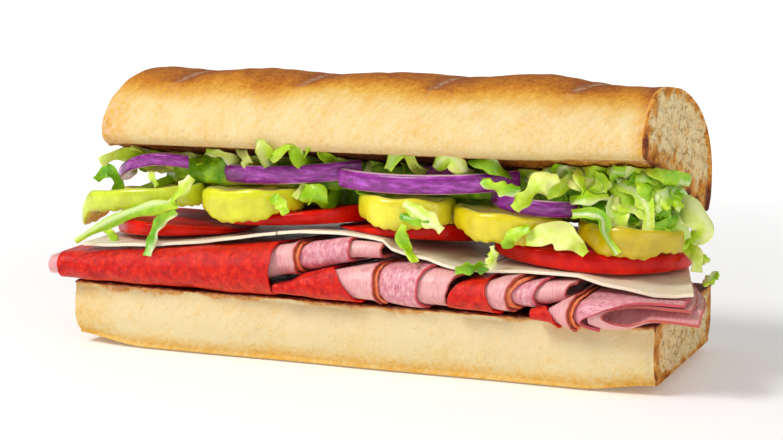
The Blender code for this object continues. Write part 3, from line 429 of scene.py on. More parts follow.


# Top half of the roll: a domed golden crust with slanting knife scores, dusted with flour, over a
# toasted cut face that is darkened further with painted shade. It lies tipped back on the fillings, its
# front edge raised.

TOP_LENGTH = 190 * MM
TOP_HALF_WIDTH = 40.5 * MM
TOP_HEIGHT = 31.5 * MM
TOP_EDGE_HEIGHT = 2.6 * MM
TOP_CENTRE = np.array([3.3, -1.6, 56.2]) * MM
TOP_ANGLES = (-19.5, -0.5, -2.2)
SCORE_PITCH = 46 * MM
SCORE_RELIEF = 0.6 * MM


def turn_of(angles):
    """Turn about x, then y, then z, by angles in degrees."""
    (sx, sy, sz), (cx, cy, cz) = np.sin(np.radians(angles)), np.cos(np.radians(angles))
    about_x = np.array([[1, 0, 0], [0, cx, -sx], [0, sx, cx]])
    about_y = np.array([[cy, 0, sy], [0, 1, 0], [-sy, 0, cy]])
    about_z = np.array([[cz, -sz, 0], [sz, cz, 0], [0, 0, 1]])
    return about_z @ about_y @ about_x


TOP_TURN = turn_of(TOP_ANGLES)


def top_roll():
    """Sections along the roll: a flattened half ellipse over a flat face. Slanting waves lift the crust
    between the scores, and each score is a narrow groove."""
    along = np.concatenate([-1 + 0.16 * np.linspace(0, 1, 40) ** 1.8, np.linspace(-0.835, 1.0, 300)])[:,
                                                                                                      None]
    end = np.minimum(1.0, (along + 1.0) / 0.11)
    rounding = np.sqrt(np.maximum(0.0, 1.0 - (1.0 - end) ** 2))
    height = TOP_HEIGHT * (0.66 + 0.34 * rounding) * (1.0 - 0.05 * soft_step(0.55, 1.0, along))
    half = TOP_HALF_WIDTH * (0.9 + 0.1 * rounding)
    x = along * TOP_LENGTH / 2
    angle = np.pi * np.linspace(0.03, 0.97, 130)[None, :]
    c, s = np.cos(angle), np.sin(angle)
    y = half * np.sign(c) * np.abs(c) ** 0.77
    z = height * s ** 0.77 * (1.0 + 0.04 * y / half)
    z = z - 1.5 * MM * soft_step(0.6, 1.0, along) * np.exp(-((y / half + 0.45) / 0.3) ** 2)
    slant = (x - 0.35 * y) / SCORE_PITCH
    z = z + SCORE_RELIEF * np.sin(2 * np.pi * slant) * soft_step(0.35, 0.8, s)
    z = np.maximum(z, TOP_EDGE_HEIGHT)
    under = np.linspace(-1, 1, 64)[None, :] * (half - 1.2 * MM)
    dip = 1.2 * MM * soft_step(half - 3 * MM, half - 1.0 * MM, np.abs(under))
    swollen = 1.4 * MM * (1.0 - soft_step(0.5, 0.95, along))
    dip = dip - swollen * np.exp(-((under + half - 6 * MM) / (4.5 * MM)) ** 2)
    y, z = np.concatenate([y, under], axis=1), np.concatenate([z, dip], axis=1)
    rows = np.stack([np.broadcast_to(x, y.shape), y, z], axis=-1)
    skin = closed_rows(rows)
    ring, left_cap, right_cap = cap_shares(len(along), skin.shape[1])
    x, y, z = skin[..., 0], skin[..., 1], skin[..., 2]
    border = half.max() - 8.5 * MM + 0.8 * MM * waves(skin, 7 * MM, 20)
    underside = (z < 1.3 * MM) * (ring > 0.999) * (y > -border)
    crust_part = (1.0 - underside) * (1.0 - right_cap)
    away = np.stack([x * 0, y * 0.8, z - 6 * MM], axis=-1)
    away /= np.linalg.norm(away, axis=-1)[..., None] + 1e-9
    slant = (x - 0.35 * y) / SCORE_PITCH
    phase = np.abs(slant + 0.25 - np.round(slant + 0.25)) * SCORE_PITCH
    score = np.exp(-(phase / (1.3 * MM)) ** 2) * soft_step(15 * MM, 24 * MM, z)
    score = score * soft_step(35 * MM, 0.0, -20 * MM - y)
    rim = np.exp(-((y + border + 1.0 * MM) / (1.3 * MM)) ** 2) * (z < 3 * MM) * crust_part
    lift = 0.34 * waves(skin, 28 * MM, 13) + 0.18 * waves(skin * [1, 0.6, 1], 7 * MM, 14)
    lift = lift * soft_step(3 * MM, 9 * MM, z) - 0.5 * score + 0.35 * rim * waves(skin, 2.4 * MM, 15)
    skin = skin + away * (lift * crust_part * MM)[..., None]
    skin[..., 2] += underside * 0.25 * MM * waves(skin, 4 * MM, 16)
    uneven = 0.7 * waves(skin, 8 * MM, 17) + 0.35 * waves(skin, 2.2 * MM, 18)
    skin[..., 0] += right_cap * (uneven - 0.6) * MM * (ring < 0.999)
    skin[..., 0] -= left_cap * 2.0 * MM * (1.0 - ring ** 2)
    edge = soft_step(0.70, 1.0, ring) * right_cap
    browning = 0.64 * soft_step(11 * MM, 27 * MM, z + 2.0 * MM * waves(skin, 30 * MM, 19)) + 0.24
    browning += 0.30 * soft_step(-76 * MM, -95 * MM, x) * soft_step(20 * MM, 10 * MM, z)
    by_score = np.exp(-(phase / (4.5 * MM)) ** 2) * (z > 20 * MM)
    browning += 0.35 * soft_step(88 * MM, 95 * MM, x) + 0.22 * by_score
    low_end = right_cap * (0.20 + 0.26 * soft_step(14 * MM, 3 * MM, z) + 0.13 * waves(skin, 7 * MM, 21))
    # Cut face underneath: real toast, darkened further with painted shade as it lies in shadow; lighter to
    # the right and at the left end.
    under_toast_and_shade = 0.82 - 0.30 * soft_step(20 * MM, 80 * MM, x) - 0.20 * soft_step(-60 * MM, -90 * MM, x)
    toast = np.clip(0.70 * rim + under_toast_and_shade * underside + 0.30 * edge + low_end, 0, 1)
    toast += 0.45 * np.exp(-((x - 95 * MM) / (1.8 * MM)) ** 2) * crust_part
    crumb = np.maximum(right_cap * (ring < 0.97), underside)
    flour = score * 0.55 + 0.5 * soft_step(20 * MM, 8 * MM, z)
    masks = {"browning": [browning * crust_part], "crumb": [crumb], "toast": [np.clip(toast, 0, 1)],
             "flour": [flour * crust_part]}
    return skin @ TOP_TURN.T + TOP_CENTRE, masks


skin, masks = top_roll()
piece("roll_top", [skin], masks, bread_finish("bread_top"), ["bun_top"])


# Folded meat: thin round slices, each bent once into a hairpin and laid in nests, so that their
# noses step out to the right like scales. Red cured sausage lies outside, then ham, then salami.

MEAT_THICKNESS = 0.85
MEAT_PITCH = 1.2
MEAT_STEP_BACK = 0.2

# Each bundle along x, in millimetres: front of the nose, its height, its outer radius, the back end of
# the legs, and the floor and roof of the legs there. Most rows share the same three for the legs.
LEGS = (30, 19.05, 31.2)
BUNDLES = {
    "a": [
        (-109, -43.5, 24.3, 4.3, *LEGS), (-104, -43.5, 24.6, 4.5, *LEGS), (-86, -44.0, 25.1, 5.2, *LEGS),
        (-60, -44.8, 26.2, 6.6, *LEGS), (-48, -45.2, 26.8, 7.3, *LEGS), (-20, -45.6, 28.3, 9.1, *LEGS),
    ],
    "e": [
        (-46, -43.8, 26.9, 6.0, 28, 20.3, 29.8), (-40, -43.3, 27.9, 5.7, 28, 20.3, 29.8),
        (-34, -42.7, 28.9, 5.4, 28, 20.3, 29.8), (-25.4, -42.0, 30.4, 5.05, 28, 20.3, 29.8),
        (-23.2, -41.9, 30.9, 5.0, 24, 21.9, 31.0), (-19, -42.2, 31.6, 5.0, 20, 23.0, 32.3),
        (-12, -43.8, 33.3, 7.0, 14, 24.6, 34.2), (-3, -44.4, 35.4, 6.5, 10, 26.2, 36.0),
        (3, -44.2, 36.0, 6.3, 8, 27.3, 36.4), (13, -43.2, 36.0, 6.0, 8, 27.6, 36.9),
    ],
    "b": [
        (-24, -45.0, 22.4, 1.5, 30, 19.05, 21.4), (-18, -45.4, 23.0, 2.0, 30, 19.05, 21.8),
        (-13, -46.0, 24.6, 3.8, 30, 19.05, 22.6), (-6, -46.4, 25.3, 5.1, 30, 19.05, 24.4),
        (3, -46.8, 25.8, 6.2, 30, 19.05, 28.4), (11, -47.2, 26.3, 7.1, 30, 19.05, 30.9),
        (15, -48.6, 26.3, 9.8, *LEGS), (21, -49.0, 26.2, 10.5, *LEGS),
        (31, -49.2, 26.1, 10.7, *LEGS), (41, -48.5, 25.6, 10.4, *LEGS),
    ],
    "c": [
        (35.5, -44.6, 24.5, 4.0, *LEGS), (47.5, -45.3, 25.1, 5.1, *LEGS),
        (52.5, -45.8, 25.6, 6.4, *LEGS), (61, -46.2, 26.1, 7.5, *LEGS),
        (67, -47.0, 27.1, 8.3, 30, 19.8, 31.8), (77, -46.5, 28.8, 7.0, 28, 24.2, 35.8),
    ],
    "d": [
        (63, -45.5, 21.2, 1.6, 30, 19.05, 21.3), (67, -46.3, 21.7, 2.3, 30, 19.05, 22.4),
        (69, -46.6, 21.9, 2.8, 30, 19.05, 23.6), (73, -48.8, 22.1, 5.0, 30, 19.05, 26.0),
        (80, -52.4, 22.4, 8.2, 30, 19.05, 31.6), (86, -53.6, 22.4, 9.5, 28, 19.05, 32.0),
        (94, -53.6, 22.9, 9.3, 20, 18.0, 32.6), (100, -52.4, 23.8, 7.8, 14, 18.4, 33.0),
        (106, -52.2, 23.4, 7.6, 12, 18.4, 33.0), (115, -52.2, 23.2, 7.7, 10, 18.4, 33.0),
    ],
}

# Where the upper legs of the last bundle bend down over the roll's front edge.
KNEE = np.array([(63, 21.3), (67, 22.0), (69, 23.5), (73, 25.2), (80, 31.2), (82, 31.7), (86, 32.0),
                 (94, 31.6), (100, 30.9), (115, 30.9)])
KNEE_PLACE = -36.6


def nested(row, depth):
    """A bundle's row seen from a slice that lies that deep in the nest."""
    x, front, height, radius, back, floor, roof = row
    nest = depth * MEAT_PITCH
    front += MEAT_STEP_BACK * depth + nest
    return (x, front, height, radius - nest, back - depth, floor + nest, roof - nest)


BUNDLES["f"] = [nested(row, 1) for row in BUNDLES["a"][:4]] + [nested(row, 3) for row in BUNDLES["e"]]

# Each slice: name, bundle, left and right end at the top, middle and bottom of the nose, and how many
# slices deep it lies.
SLICES = [
    ("a_red", "a", -104, (-24.4, -24.6, -25), 0),
    ("a_ham", "e", -46, (-16.6, -16.6, -16.4), 0),
    ("a_rim", "e", -40, (-15.4, -15.4, -15.2), 1),
    ("a_salami", "e", -34, (1.8, 1.6, 2.0), 2),
    ("a_inner", "f", -108.5, (12.6, 11.8, 12.6), 0),
    ("b_red", "b", -23.2, (-4, 1.5, 6), 0),
    ("b_ham", "b", -9, (12, 11.9, 12.6), 1),
    ("b_rim", "b", -1, (13.2, 13.0, 14.0), 2),
    ("b_salami", "b", 3, (30, 26, 28), 3),
    ("b_inner", "b", 12, (40.3, 35.6, 35.2), 4),
    ("c_red", "c", (41.2, 36.6, 36.2), (48.4, 49, 52), 0),
    ("c_ham", "c", 42, (58.5, 55, 56.5), 1),
    ("c_rim", "c", 46, (60.5, 56.2, 58.3), 2),
    ("c_salami", "c", 49, (67, 63.5, 65.5), 3),
    ("c_inner", "c", 55, (76, 73.3, 74.6), 4),
    ("d_red", "d", 63.2, (67.5, 70, 72.5), 0),
    ("d_ham", "d", 69, (78.2, 75.9, 77.6), 1),
    ("d_rim", "d", 74.5, (79.2, 77.4, 78.7), 2.1),
    ("d_salami", "d", 77.2, (110, 82.2, 84.4), 3.2),
    ("d_loop", "d", 81.5, (112, 86.2, 114.5), 4.4),
]

# Moist skin as one group for all the fillings: the grain's size in metres, and the roughness where the
# surface is wet and where it is dry, make an uneven gloss and a fine relief.
moist, moist_in, moist_out = new_group("moist_skin", {"Grain": 0.001, "Wet": 0.25, "Dry": 0.5},
                                       {"Roughness": "Float", "Height": "Float"})
grain_size = node(moist, "CombineXYZ", None, X=moist_in["Grain"], Y=moist_in["Grain"], Z=moist_in["Grain"])
scaled = node(moist, "VectorMath", {"operation": "DIVIDE"}, Vector=own_place(moist))
feed(moist, scaled.inputs[1], grain_size.outputs[0])
ripple = noise(moist, scaled.outputs[0], 1.0, 4.0, 0.6)
slow = node(moist, "TexNoise", None, Vector=scaled.outputs[0], Scale=0.22, Detail=2.0).outputs[0]
wetness = node(moist, "MapRange", None, Value=slow, From_Min=0.35, From_Max=0.65, To_Min=moist_in["Wet"],
               To_Max=moist_in["Dry"])
feed(moist, moist_out["Roughness"], wetness.outputs[0])
feed(moist, moist_out["Height"], calc(moist, "ADD", ripple, calc(moist, "MULTIPLY", slow, 1.5)))


def moist_finish(name, colour_of, grain, wet, dry, relief, glow=None, **settings):
    """Material of a damp food: its colour from a function of the node tree, and a broken wet gloss. Grain
    and relief are in millimetres. A glow is how much light goes in, and how far its red, green and blue
    spread, in millimetres."""
    if glow:
        settings.update(Subsurface_Weight=glow[0], Subsurface_Radius=[reach * MM for reach in glow[1:]],
                        Subsurface_Scale=1.0)
    made, tree, shader = new_finish(name, **settings)
    skin = put_group(tree, moist, Grain=grain * MM, Wet=wet(tree) if callable(wet) else wet, Dry=dry)
    feed(tree, shader.inputs["Base Color"], colour_of(tree))
    feed(tree, shader.inputs["Roughness"], skin["Roughness"])
    bump(tree, shader, skin["Height"], relief * MM)
    return made


def slice_place(tree):
    """Place on a slice: millimetres along it, round its bend and in from its right edge, and the last of
    these on its own."""
    lay = node(tree, "Attribute", {"attribute_name": "lay"}).outputs["Vector"]
    return lay, node(tree, "SeparateXYZ", None, Vector=lay).outputs["Z"]


def red_meat(tree):
    """Deep orange red with fine pale flecks, and a darker rim along the right edge: partly the real cut
    edge, partly painted shadow of the next slice.
    """
    lay, edge = slice_place(tree)
    tone = colours(tree, noise(tree, lay, 3.0, 5.0, 0.65), (0.30, (0.36, 0.001, 0.0003)),
                   (0.5, (0.62, 0.004, 0.0005)),
                   (0.72, (0.84, 0.030, 0.001)))
    fleck = levels(tree, cells(tree, lay, 1.5), 0.22, 0.08)
    tone = colour_mix(tree, calc(tree, "MULTIPLY", fleck, 0.5), tone, (0.88, 0.10, 0.02, 1.0))
    # Darker band in from the right edge: partly the real cut edge, partly painted shadow of the next slice.
    return colour_mix(tree, levels(tree, edge, 0.8, 0.2), tone, (0.70, 0.012, 0.004, 1.0))


def ham_meat(tree):
    """Pale pink with fine streaks round the bend, and a dark red rim along the right edge: partly the real
    cut edge, partly painted shadow of the next slice.
    """
    lay, edge = slice_place(tree)
    streak = noise(tree, lay, 1.0, 4.0, 0.6, stretch=(1.6, 0.28, 1.0))
    tone = colours(tree, streak, (0.3, (0.66, 0.25, 0.28)), (0.5, (0.78, 0.36, 0.37)),
                   (0.7, (0.86, 0.50, 0.50)))
    patch = noise(tree, lay, 5.0, 3.0)
    tone = colour_mix(tree, levels(tree, patch, 0.45, 0.75), tone, (0.80, 0.46, 0.42, 1.0))
    # Darker band in from the right edge: partly the real cut edge, partly painted shadow of the next slice.
    return colour_mix(tree, levels(tree, edge, 0.7, 0.25), tone, (0.50, 0.09, 0.07, 1.0))


def salami_meat(tree):
    """Rosy pink marbled with pale fat and a few red spots, and a darker rim along the right edge: partly the
    real cut edge, partly painted shadow of the next slice.
    """
    lay, edge = slice_place(tree)
    marble = noise(tree, lay, 1.5, 5.0, 0.65, stretch=(1.0, 0.6, 1.0))
    tone = colours(tree, marble, (0.32, (0.54, 0.14, 0.20)), (0.5, (0.70, 0.27, 0.33)),
                   (0.66, (0.84, 0.48, 0.50)))
    spots = levels(tree, cells(tree, lay, 4.6), 0.16, 0.09)
    tone = colour_mix(tree, calc(tree, "MULTIPLY", spots, 0.8), tone, (0.60, 0.03, 0.04, 1.0))
    # Darker band in from the right edge: partly the real cut edge, partly painted shadow of the next slice.
    return colour_mix(tree, levels(tree, edge, 0.7, 0.25), tone, (0.60, 0.07, 0.09, 1.0))


def rim_meat(tree):
    """Thin orange-red slice edge."""
    lay = slice_place(tree)[0]
    return colours(tree, noise(tree, lay, 1.6, 3.0), (0.35, (0.90, 0.16, 0.05)), (0.65, (0.98, 0.36, 0.15)))


MEAT_FINISHES = {
    "red": moist_finish("meat_red", red_meat, 1.0, 0.10, 0.26, 0.44, (0.02, 1.2, 0.48, 0.36),
                        Specular_IOR_Level=0.26),
    "ham": moist_finish("meat_ham", ham_meat, 1.1, 0.32, 0.50, 0.14, (0.10, 1.8, 0.72, 0.54)),
    "salami": moist_finish("meat_salami", salami_meat, 1.0, 0.30, 0.48, 0.16, (0.10, 1.8, 0.72, 0.54)),
    "rim": moist_finish("meat_rim", rim_meat, 1.0, 0.25, 0.45, 0.10),
}
# The innermost slice of each nest and the open loop are ham too.
HAM_TOO = ("inner", "loop")


def thick(outer, inner):
    """Two grids of points as one closed thin solid: each row is a ring out along one and back along the
    other, and the first and last rings close on the line halfway between them."""
    def ring(a, b):
        return np.concatenate([a, b[:, ::-1], a[:, :1]], axis=1)
    middle = (outer + inner) / 2
    ends = ring(middle, middle)
    return np.concatenate([ends[:1], ring(outer, inner), ends[-1:]])


def thick_mask(values):
    """A mask on one face laid out as the thin solid's rings are."""
    ring = np.concatenate([values, values[:, ::-1], values[:, :1]], axis=1)
    return np.concatenate([ring[:1], ring, ring[-1:]])


def across_nose(ends, share):
    """Place of a slice's end a share of the way round the nose: a smooth bend through three places."""
    top, middle, bottom = np.broadcast_to(ends, 3)
    return (top * (1 - share) * (1 - 2 * share) + 4 * middle * share * (1 - share)
            + bottom * share * (2 * share - 1))


def hairpin(bundle, x, turn, leg, depth, inset):
    """Height and depth of a bent slice at x: half a circle round the nose by the turn, and beyond it the
    legs, a share of the way from their back ends. An inset moves it in towards the middle of the bend."""
    rows = np.array(BUNDLES[bundle], dtype=float)
    front, height, radius, back, floor_z, roof_z = (np.interp(x, rows[:, 0], rows[:, k]) for k in range(1,
                                                                                                        7))
    nest = depth * MEAT_PITCH
    nose_y, radius, back = front + MEAT_STEP_BACK * depth + radius, radius - nest, back - depth
    inset = inset * np.minimum(MEAT_THICKNESS, 0.6 * radius)
    radius = radius - inset
    floor_z, roof_z = floor_z + nest + inset, roof_z - nest - inset
    bend = np.pi * (0.5 + turn)
    y = np.where(leg < 1, back + (nose_y - back) * leg, nose_y + radius * np.cos(bend))
    upper = roof_z + (height + radius - roof_z) * leg
    lower = floor_z + (height - radius - floor_z) * leg
    if bundle == "d":
        knee = np.interp(x, *KNEE.T) - nest - inset
        behind = np.clip((back - y) / (back - KNEE_PLACE), 0, 1)
        before = np.clip((KNEE_PLACE - y) / (KNEE_PLACE - nose_y), 0, 1)
        upper = roof_z + (knee - roof_z) * behind + (height + radius - knee) * before
        lower = floor_z + (height - radius - floor_z) * before
    straight = np.where(turn < 0.5, upper, lower)
    return y, np.where(leg < 1, straight, height + radius * np.sin(bend))


WRINKLE_SEED = 97


def wrinkle(points):
    """Soft folds shared by all the slices, so that they stay clear of each other: in and out along y and
    up and down, most at the noses."""
    reach = soft_step(-20, -40, points[..., 1])
    fold = waves(points * [1.0, 0.15, 0.55], 13, WRINKLE_SEED) * 0.38
    fold = fold + waves(points * [1.0, 0.2, 1.0], 4.5, WRINKLE_SEED + 1) * 0.12
    moved = points.copy()
    moved[..., 1] += fold * reach
    moved[..., 1] -= 0.07 * waves(points * [0.35, 0.6, 1.0], 2.4, WRINKLE_SEED + 3) * reach
    moved[..., 2] += 0.30 * waves(points * [1.0, 0.1, 0.1], 16, WRINKLE_SEED + 2) * reach
    return moved


def meat_slice(label, bundle, left, right, depth):
    """One slice as a thin solid: rows run from its left end to its right end, which bends round the nose
    and, on the widest slices, is rounded off at the back."""
    kind = "ham" if label[2:] in HAM_TOO else label[2:]
    way = np.linspace(0, 1, 30, endpoint=False) ** 0.8
    turn = np.concatenate([way * 0, np.linspace(0, 1, 46), way * 0 + 1])[None, :]
    leg = np.concatenate([way, np.ones(46), way[::-1]])[None, :]
    start, end = across_nose(left, turn), across_nose(right, turn)
    widest = max(right) - min(right)
    end = end - np.minimum(16.0, widest) * (1 - leg) ** 2 * (widest > 20) * (end > min(right) + 8)
    share = np.linspace(0, 1, max(24, int((end.max() - start.min()) / 1.0)))[:, None]
    x = start + (end - start) * share
    outer = np.stack([x, *hairpin(bundle, x, turn, leg, depth, 0.0)], axis=-1)
    inner = np.stack([x, *hairpin(bundle, x, turn, leg, depth, 1.0)], axis=-1)
    steps = [np.diff(line, axis=1, prepend=line[:, :1]) for line in (outer[..., 1], outer[..., 2])]
    arc = np.cumsum(np.hypot(*steps), axis=1)
    lay = np.stack([x + 40 * depth, arc, end - x], axis=-1)
    cut = share ** 3 * (0.14 * np.sin(arc * 0.75 + min(right)) + 0.08 * np.sin(arc * 1.9 + max(right)))
    outer[..., 0] += cut
    inner[..., 0] += cut
    grid = thick(wrinkle(outer), wrinkle(inner)) * MM
    piece("slice_" + label, [grid], {"lay": [thick_mask(lay)]}, MEAT_FINISHES[kind], ["meat_" + label])


for entry in SLICES:
    meat_slice(*entry)


def smooth_path(knots, per_knot):
    """Open smooth curve through knots, in the same cubic pieces."""
    knots = np.array(knots, dtype=float)
    padded = np.concatenate([[2 * knots[0] - knots[1]], knots, [2 * knots[-1] - knots[-2]]])
    place = np.linspace(0, len(knots) - 1, (len(knots) - 1) * per_knot + 1)
    k = np.minimum(np.floor(place).astype(int), len(knots) - 2)
    t = (place - k)[:, None]
    return between(*(padded[k + step] for step in (0, 1, 2, 3)), t)


# Cheese: three thin cream slices laid over the meat, soft enough to drape over the folds below.

CHEESE_THICKNESS = 1.0
CHEESE_FRONT = -38.5
CHEESE_BACK = 33.0
CHEESE_BACK_HEIGHT = 31.6
CHEESE_EDGE = np.array([
    (-99, 31.0), (-97, 31.0), (-83, 31.8), (-60, 33.6), (-50, 35.0), (-38, 37.0), (-25, 39.1), (-24, 39.4),
    (-16, 40.4), (-2, 40.5), (8, 39.7), (12, 39.1), (15, 36.6), (21, 34.9), (28, 34.3), (34, 32.6),
    (38.8, 31.6), (51, 32.1), (59, 32.3), (66, 32.2), (76, 32.0), (84, 30.4), (92, 29.4), (100, 28.1),
    (106, 28.0),
    (114, 29.2)])


def cheese_tone(tree):
    """Pale cream with the faintest cloudiness."""
    return colours(tree, noise(tree, own_place(tree), 6 * MM, 3.0), (0.3, (0.90, 0.79, 0.56)),
                   (0.7, (0.96, 0.89, 0.70)))


cheese_finish = moist_finish("cheese_cream", cheese_tone, 2.2, 0.32, 0.45, 0.12, (0.25, 2.5, 1.8, 1.0))


def cheese_slice(number, left, right, recede):
    """Thin slice whose height runs straight from its front edge, which follows the meat, to its back."""
    x = np.linspace(left, right, 110)[:, None]
    v = np.linspace(0, 1, 60)[None, :] ** 1.3
    front = CHEESE_FRONT + 1.2 * np.sin(x * 0.11 + 0.7) + 0.35 * np.sin(x * 0.37)
    y = front * (1 - v) + CHEESE_BACK * v
    place = left + (x - left) * (1.0 - recede * v)
    share = (CHEESE_BACK - y) / (CHEESE_BACK - CHEESE_FRONT)
    z = CHEESE_BACK_HEIGHT + (np.interp(place, *CHEESE_EDGE.T) - CHEESE_BACK_HEIGHT) * share
    lower = np.stack([place, y, z], axis=-1)
    lower[..., 2] += 0.12 * waves(lower * [1, 0.3, 0], 12, 31) * soft_step(-28, -37, y)
    upper = lower + [0, 0, CHEESE_THICKNESS]
    piece(f"cheese_slice_{number}", [thick(upper, lower) * MM], {}, cheese_finish, [f"cheese_{number}"])


cheese_slice(1, -98, -24.5, 0.0)
cheese_slice(2, -23.5, 45, 0.0)
cheese_slice(3, 46, 111.5, 0.3)


# Tomato: slices about 4 mm thick cut across the fruit, wet, with glossy skin round the rim.

# Each slice: centre, radius, and its top and bottom planes as height, rise along x and rise along y.
TOMATOES = [
    ((-72, -10), 24.5, (38.2, -0.08, -0.05), (34.4, 0.04, -0.035)),
    ((-28, -4), 29, (43.4, 0.14, -0.05), (39.5, 0.065, -0.055)),
    ((10.5, -9), 24, (41.2, 0.07, -0.06), (37.9, -0.06, -0.09)),
    ((71, -5), 31.5, (38.4, -0.045, -0.03), (33.5, -0.06, 0.0)),
]
# Round the rim: share of the radius, and share of the way from the lower plane to the upper one.
RIM_SHARES = [0.965, 0.982, 0.992, 0.998, 1.0, 1.0, 1.0, 0.998, 0.992, 0.982, 0.965]
RIM_LEVELS = [0.02, 0.06, 0.14, 0.25, 0.38, 0.5, 0.62, 0.75, 0.86, 0.94, 0.98]


def tomato_tone(tree):
    """Skin red round the rim; flesh lighter inside, with pale walls between the seed pockets."""
    reach = mask(tree, "reach")
    spot = own_place(tree)
    flesh = colours(tree, noise(tree, spot, 3.5 * MM, 4.0), (0.35, (0.60, 0.004, 0.001)),
                    (0.6, (0.80, 0.016, 0.003)),
                    (0.8, (0.88, 0.06, 0.012)))
    skin_tone = colours(tree, noise(tree, spot, 7 * MM, 3.0), (0.35, (0.54, 0.001, 0.0004)),
                        (0.65, (0.78, 0.011, 0.001)))
    return colour_mix(tree, levels(tree, reach, 0.93, 0.985), flesh, skin_tone)


def tomato_wet(tree):
    """Roughness of the wet patches: low on the skin, higher on the cut flesh."""
    skin = levels(tree, mask(tree, "reach"), 0.93, 0.985)
    return calc(tree, "SUBTRACT", 0.55, calc(tree, "MULTIPLY", skin, 0.44))


tomato_finish = moist_finish("tomato_flesh", tomato_tone, 2.4, tomato_wet, 0.36, 0.10, (0.10, 2.0, 0.4, 0.2),
                             Specular_IOR_Level=0.2)


def tomato_slice(number, centre, radius, top, bottom):
    """Disc between two planes: rings grow from the middle of one face, round the rim and back to the
    middle of the other. Slow waves lobe its rim."""
    share = np.concatenate([np.linspace(0, 0.93, 22), RIM_SHARES, np.linspace(0.93, 0, 22)])[:, None]
    level = np.concatenate([np.zeros(22), RIM_LEVELS, np.ones(22)])[:, None]
    angle = np.linspace(0, 2 * np.pi, 181)[None, :]
    lobe = 1.0 + 0.015 * np.sin(5 * angle + centre[0] * 0.9) + 0.004 * np.sin(13 * angle + centre[0])
    dx, dy = radius * share * lobe * np.cos(angle), radius * share * lobe * np.sin(angle)
    low = bottom[0] + bottom[1] * dx + bottom[2] * dy
    high = top[0] + top[1] * dx + top[2] * dy
    z = low + (high - low) * level
    skin = np.stack([centre[0] + dx, centre[1] + dy, z], axis=-1)
    pockets = 0.10 * waves(skin, 7, 41) * (share < 0.9) * (share > 0.05)
    skin[..., 2] += pockets * np.where(level > 0.5, 1, -1)
    reach = np.broadcast_to(share, z.shape)
    skin[:, -1] = skin[:, 0]
    piece(f"tomato_slice_{number}", [skin * MM], {"reach": [reach]}, tomato_finish, [f"tomato_{number}"],
          60)


for number, entry in enumerate(TOMATOES, 1):
    tomato_slice(number, *entry)


# Pepper rings: pickled yellow peppers cut across into thin-walled, lobed rings with wet skins.

PEPPER_WALL = 3.0
# Each ring: centre, half sizes, height, rise, fall, lobes, swell, droop, drop at the front, skin colour.
PEPPERS = [
    ((-82.5, -24, 46.4), 23, 12, 7.2, 0.10, 0.05, 3, 0.02, (-96.5, 5.0, 9), 0.0, (0.66, 0.80, 0.03)),
    ((-39.5, -26.0, 48.6), 17.5, 13.0, 7.4, 0.03, 0.05, 5, 0.03, None, 3.2, (0.74, 0.76, 0.010)),
    ((15.5, -25.5, 48.4), 16.0, 12.5, 8.0, -0.03, 0.05, 5, 0.03, None, 2.0, (0.88, 0.82, 0.03)),
    ((49.5, -26.0, 45.9), 17.5, 12.8, 7.0, -0.07, 0.05, 4, 0.03, None, 2.2, (0.78, 0.66, 0.006)),
    ((88.5, -23.0, 43.6), 16.5, 13.0, 6.8, -0.05, 0.05, 4, 0.025, None, 2.4, (0.62, 0.47, 0.002)),
]


def band(form, start, stop, rows, lobes=2, swell=0.004, sag=0.0, drop=0.0, droop=None, ripple=0.0):
    """Band round an ellipse with a rounded section. Its form is its centre, half sizes, wall, height, rise
    along x and fall to the back. A droop bends one end down, a sag bows it, a drop deepens its front."""
    centre, half_x, half_y, wall, height, rise, fall = form
    a = np.radians(np.linspace(start, stop, rows))[:, None]
    turn = np.linspace(0, 2 * np.pi, 41)[None, :]
    c, s = np.cos(turn), np.sin(turn)
    reach = -0.75 + 0.75 * np.sign(c) * np.abs(c) ** 0.6 - 0.12 * (c < 0) * np.abs(s)
    level = np.sign(s) * np.abs(s) ** 0.55 * (1.0 - 0.1 * (c < 0))
    wobble = 1.0 + swell * np.sin(lobes * a + centre[0] * 0.3)
    x = centre[0] + (half_x + reach * wall) * wobble * np.cos(a)
    y = centre[1] + (half_y + reach * wall) * wobble * np.sin(a)
    z = centre[2] + level * height / 2 + rise * (x - centre[0]) - fall * (y - centre[1])
    z = z + swell * 6.0 * np.sin(lobes * a + 1.0) + sag * (x - centre[0]) ** 2
    z = z - drop * soft_step(-0.6, -0.95, np.sin(a)) * soft_step(0.1, -0.5, level)
    crest = np.sin(7 * a + centre[0]) * 0.25 + np.sin(25 * a + 2 * centre[0]) * 0.30 * (level < 0)
    z = z + ripple * crest * np.abs(level) ** 3
    if droop:
        z = z - droop[1] * soft_step(droop[0], droop[0] - droop[2], x)
    skin = np.stack([x, y, z], axis=-1)
    skin[:, -1] = skin[:, 0]
    return skin, np.broadcast_to(reach, x.shape), np.broadcast_to(level, x.shape)


def pepper_finish(name, skin_colour):
    """Bright skin outside, paler wet flesh on the cut edges and inside."""
    def tone(tree):
        cloud = noise(tree, own_place(tree), 5 * MM, 3.0)
        pale = tuple(0.45 * c + 0.55 * p for c, p in zip(skin_colour, (0.90, 0.86, 0.34)))
        deep = tuple(c * k for c, k in zip(skin_colour, (0.80, 0.74, 0.5)))
        outside = colours(tree, cloud, (0.32, deep), (0.66, skin_colour))
        return colour_mix(tree, levels(tree, mask(tree, "reach"), -0.25, -0.55), outside, (*pale, 1.0))
    return moist_finish(name, tone, 2.0, 0.14, 0.30, 0.16, (0.18, 2.5, 2.0, 0.4), Coat_Weight=0.3,
                        Coat_Roughness=0.1)


for number, (*form, lobes, swell, droop, drop, skin_colour) in enumerate(PEPPERS, 1):
    form.insert(3, PEPPER_WALL)
    skin, reach, level = band(form, 0, 360, 161, lobes, swell, drop=drop, droop=droop, ripple=0.8)
    skin[-1] = skin[0]
    piece(f"pepper_ring_{number}", [skin * MM], {"reach": [reach]},
          pepper_finish(f"pepper_{number}_skin", skin_colour), [f"pepper_{number}"])


# Red onion: arcs of sliced rings, purple skin outside, pale cut edges above and below, a little dewy.

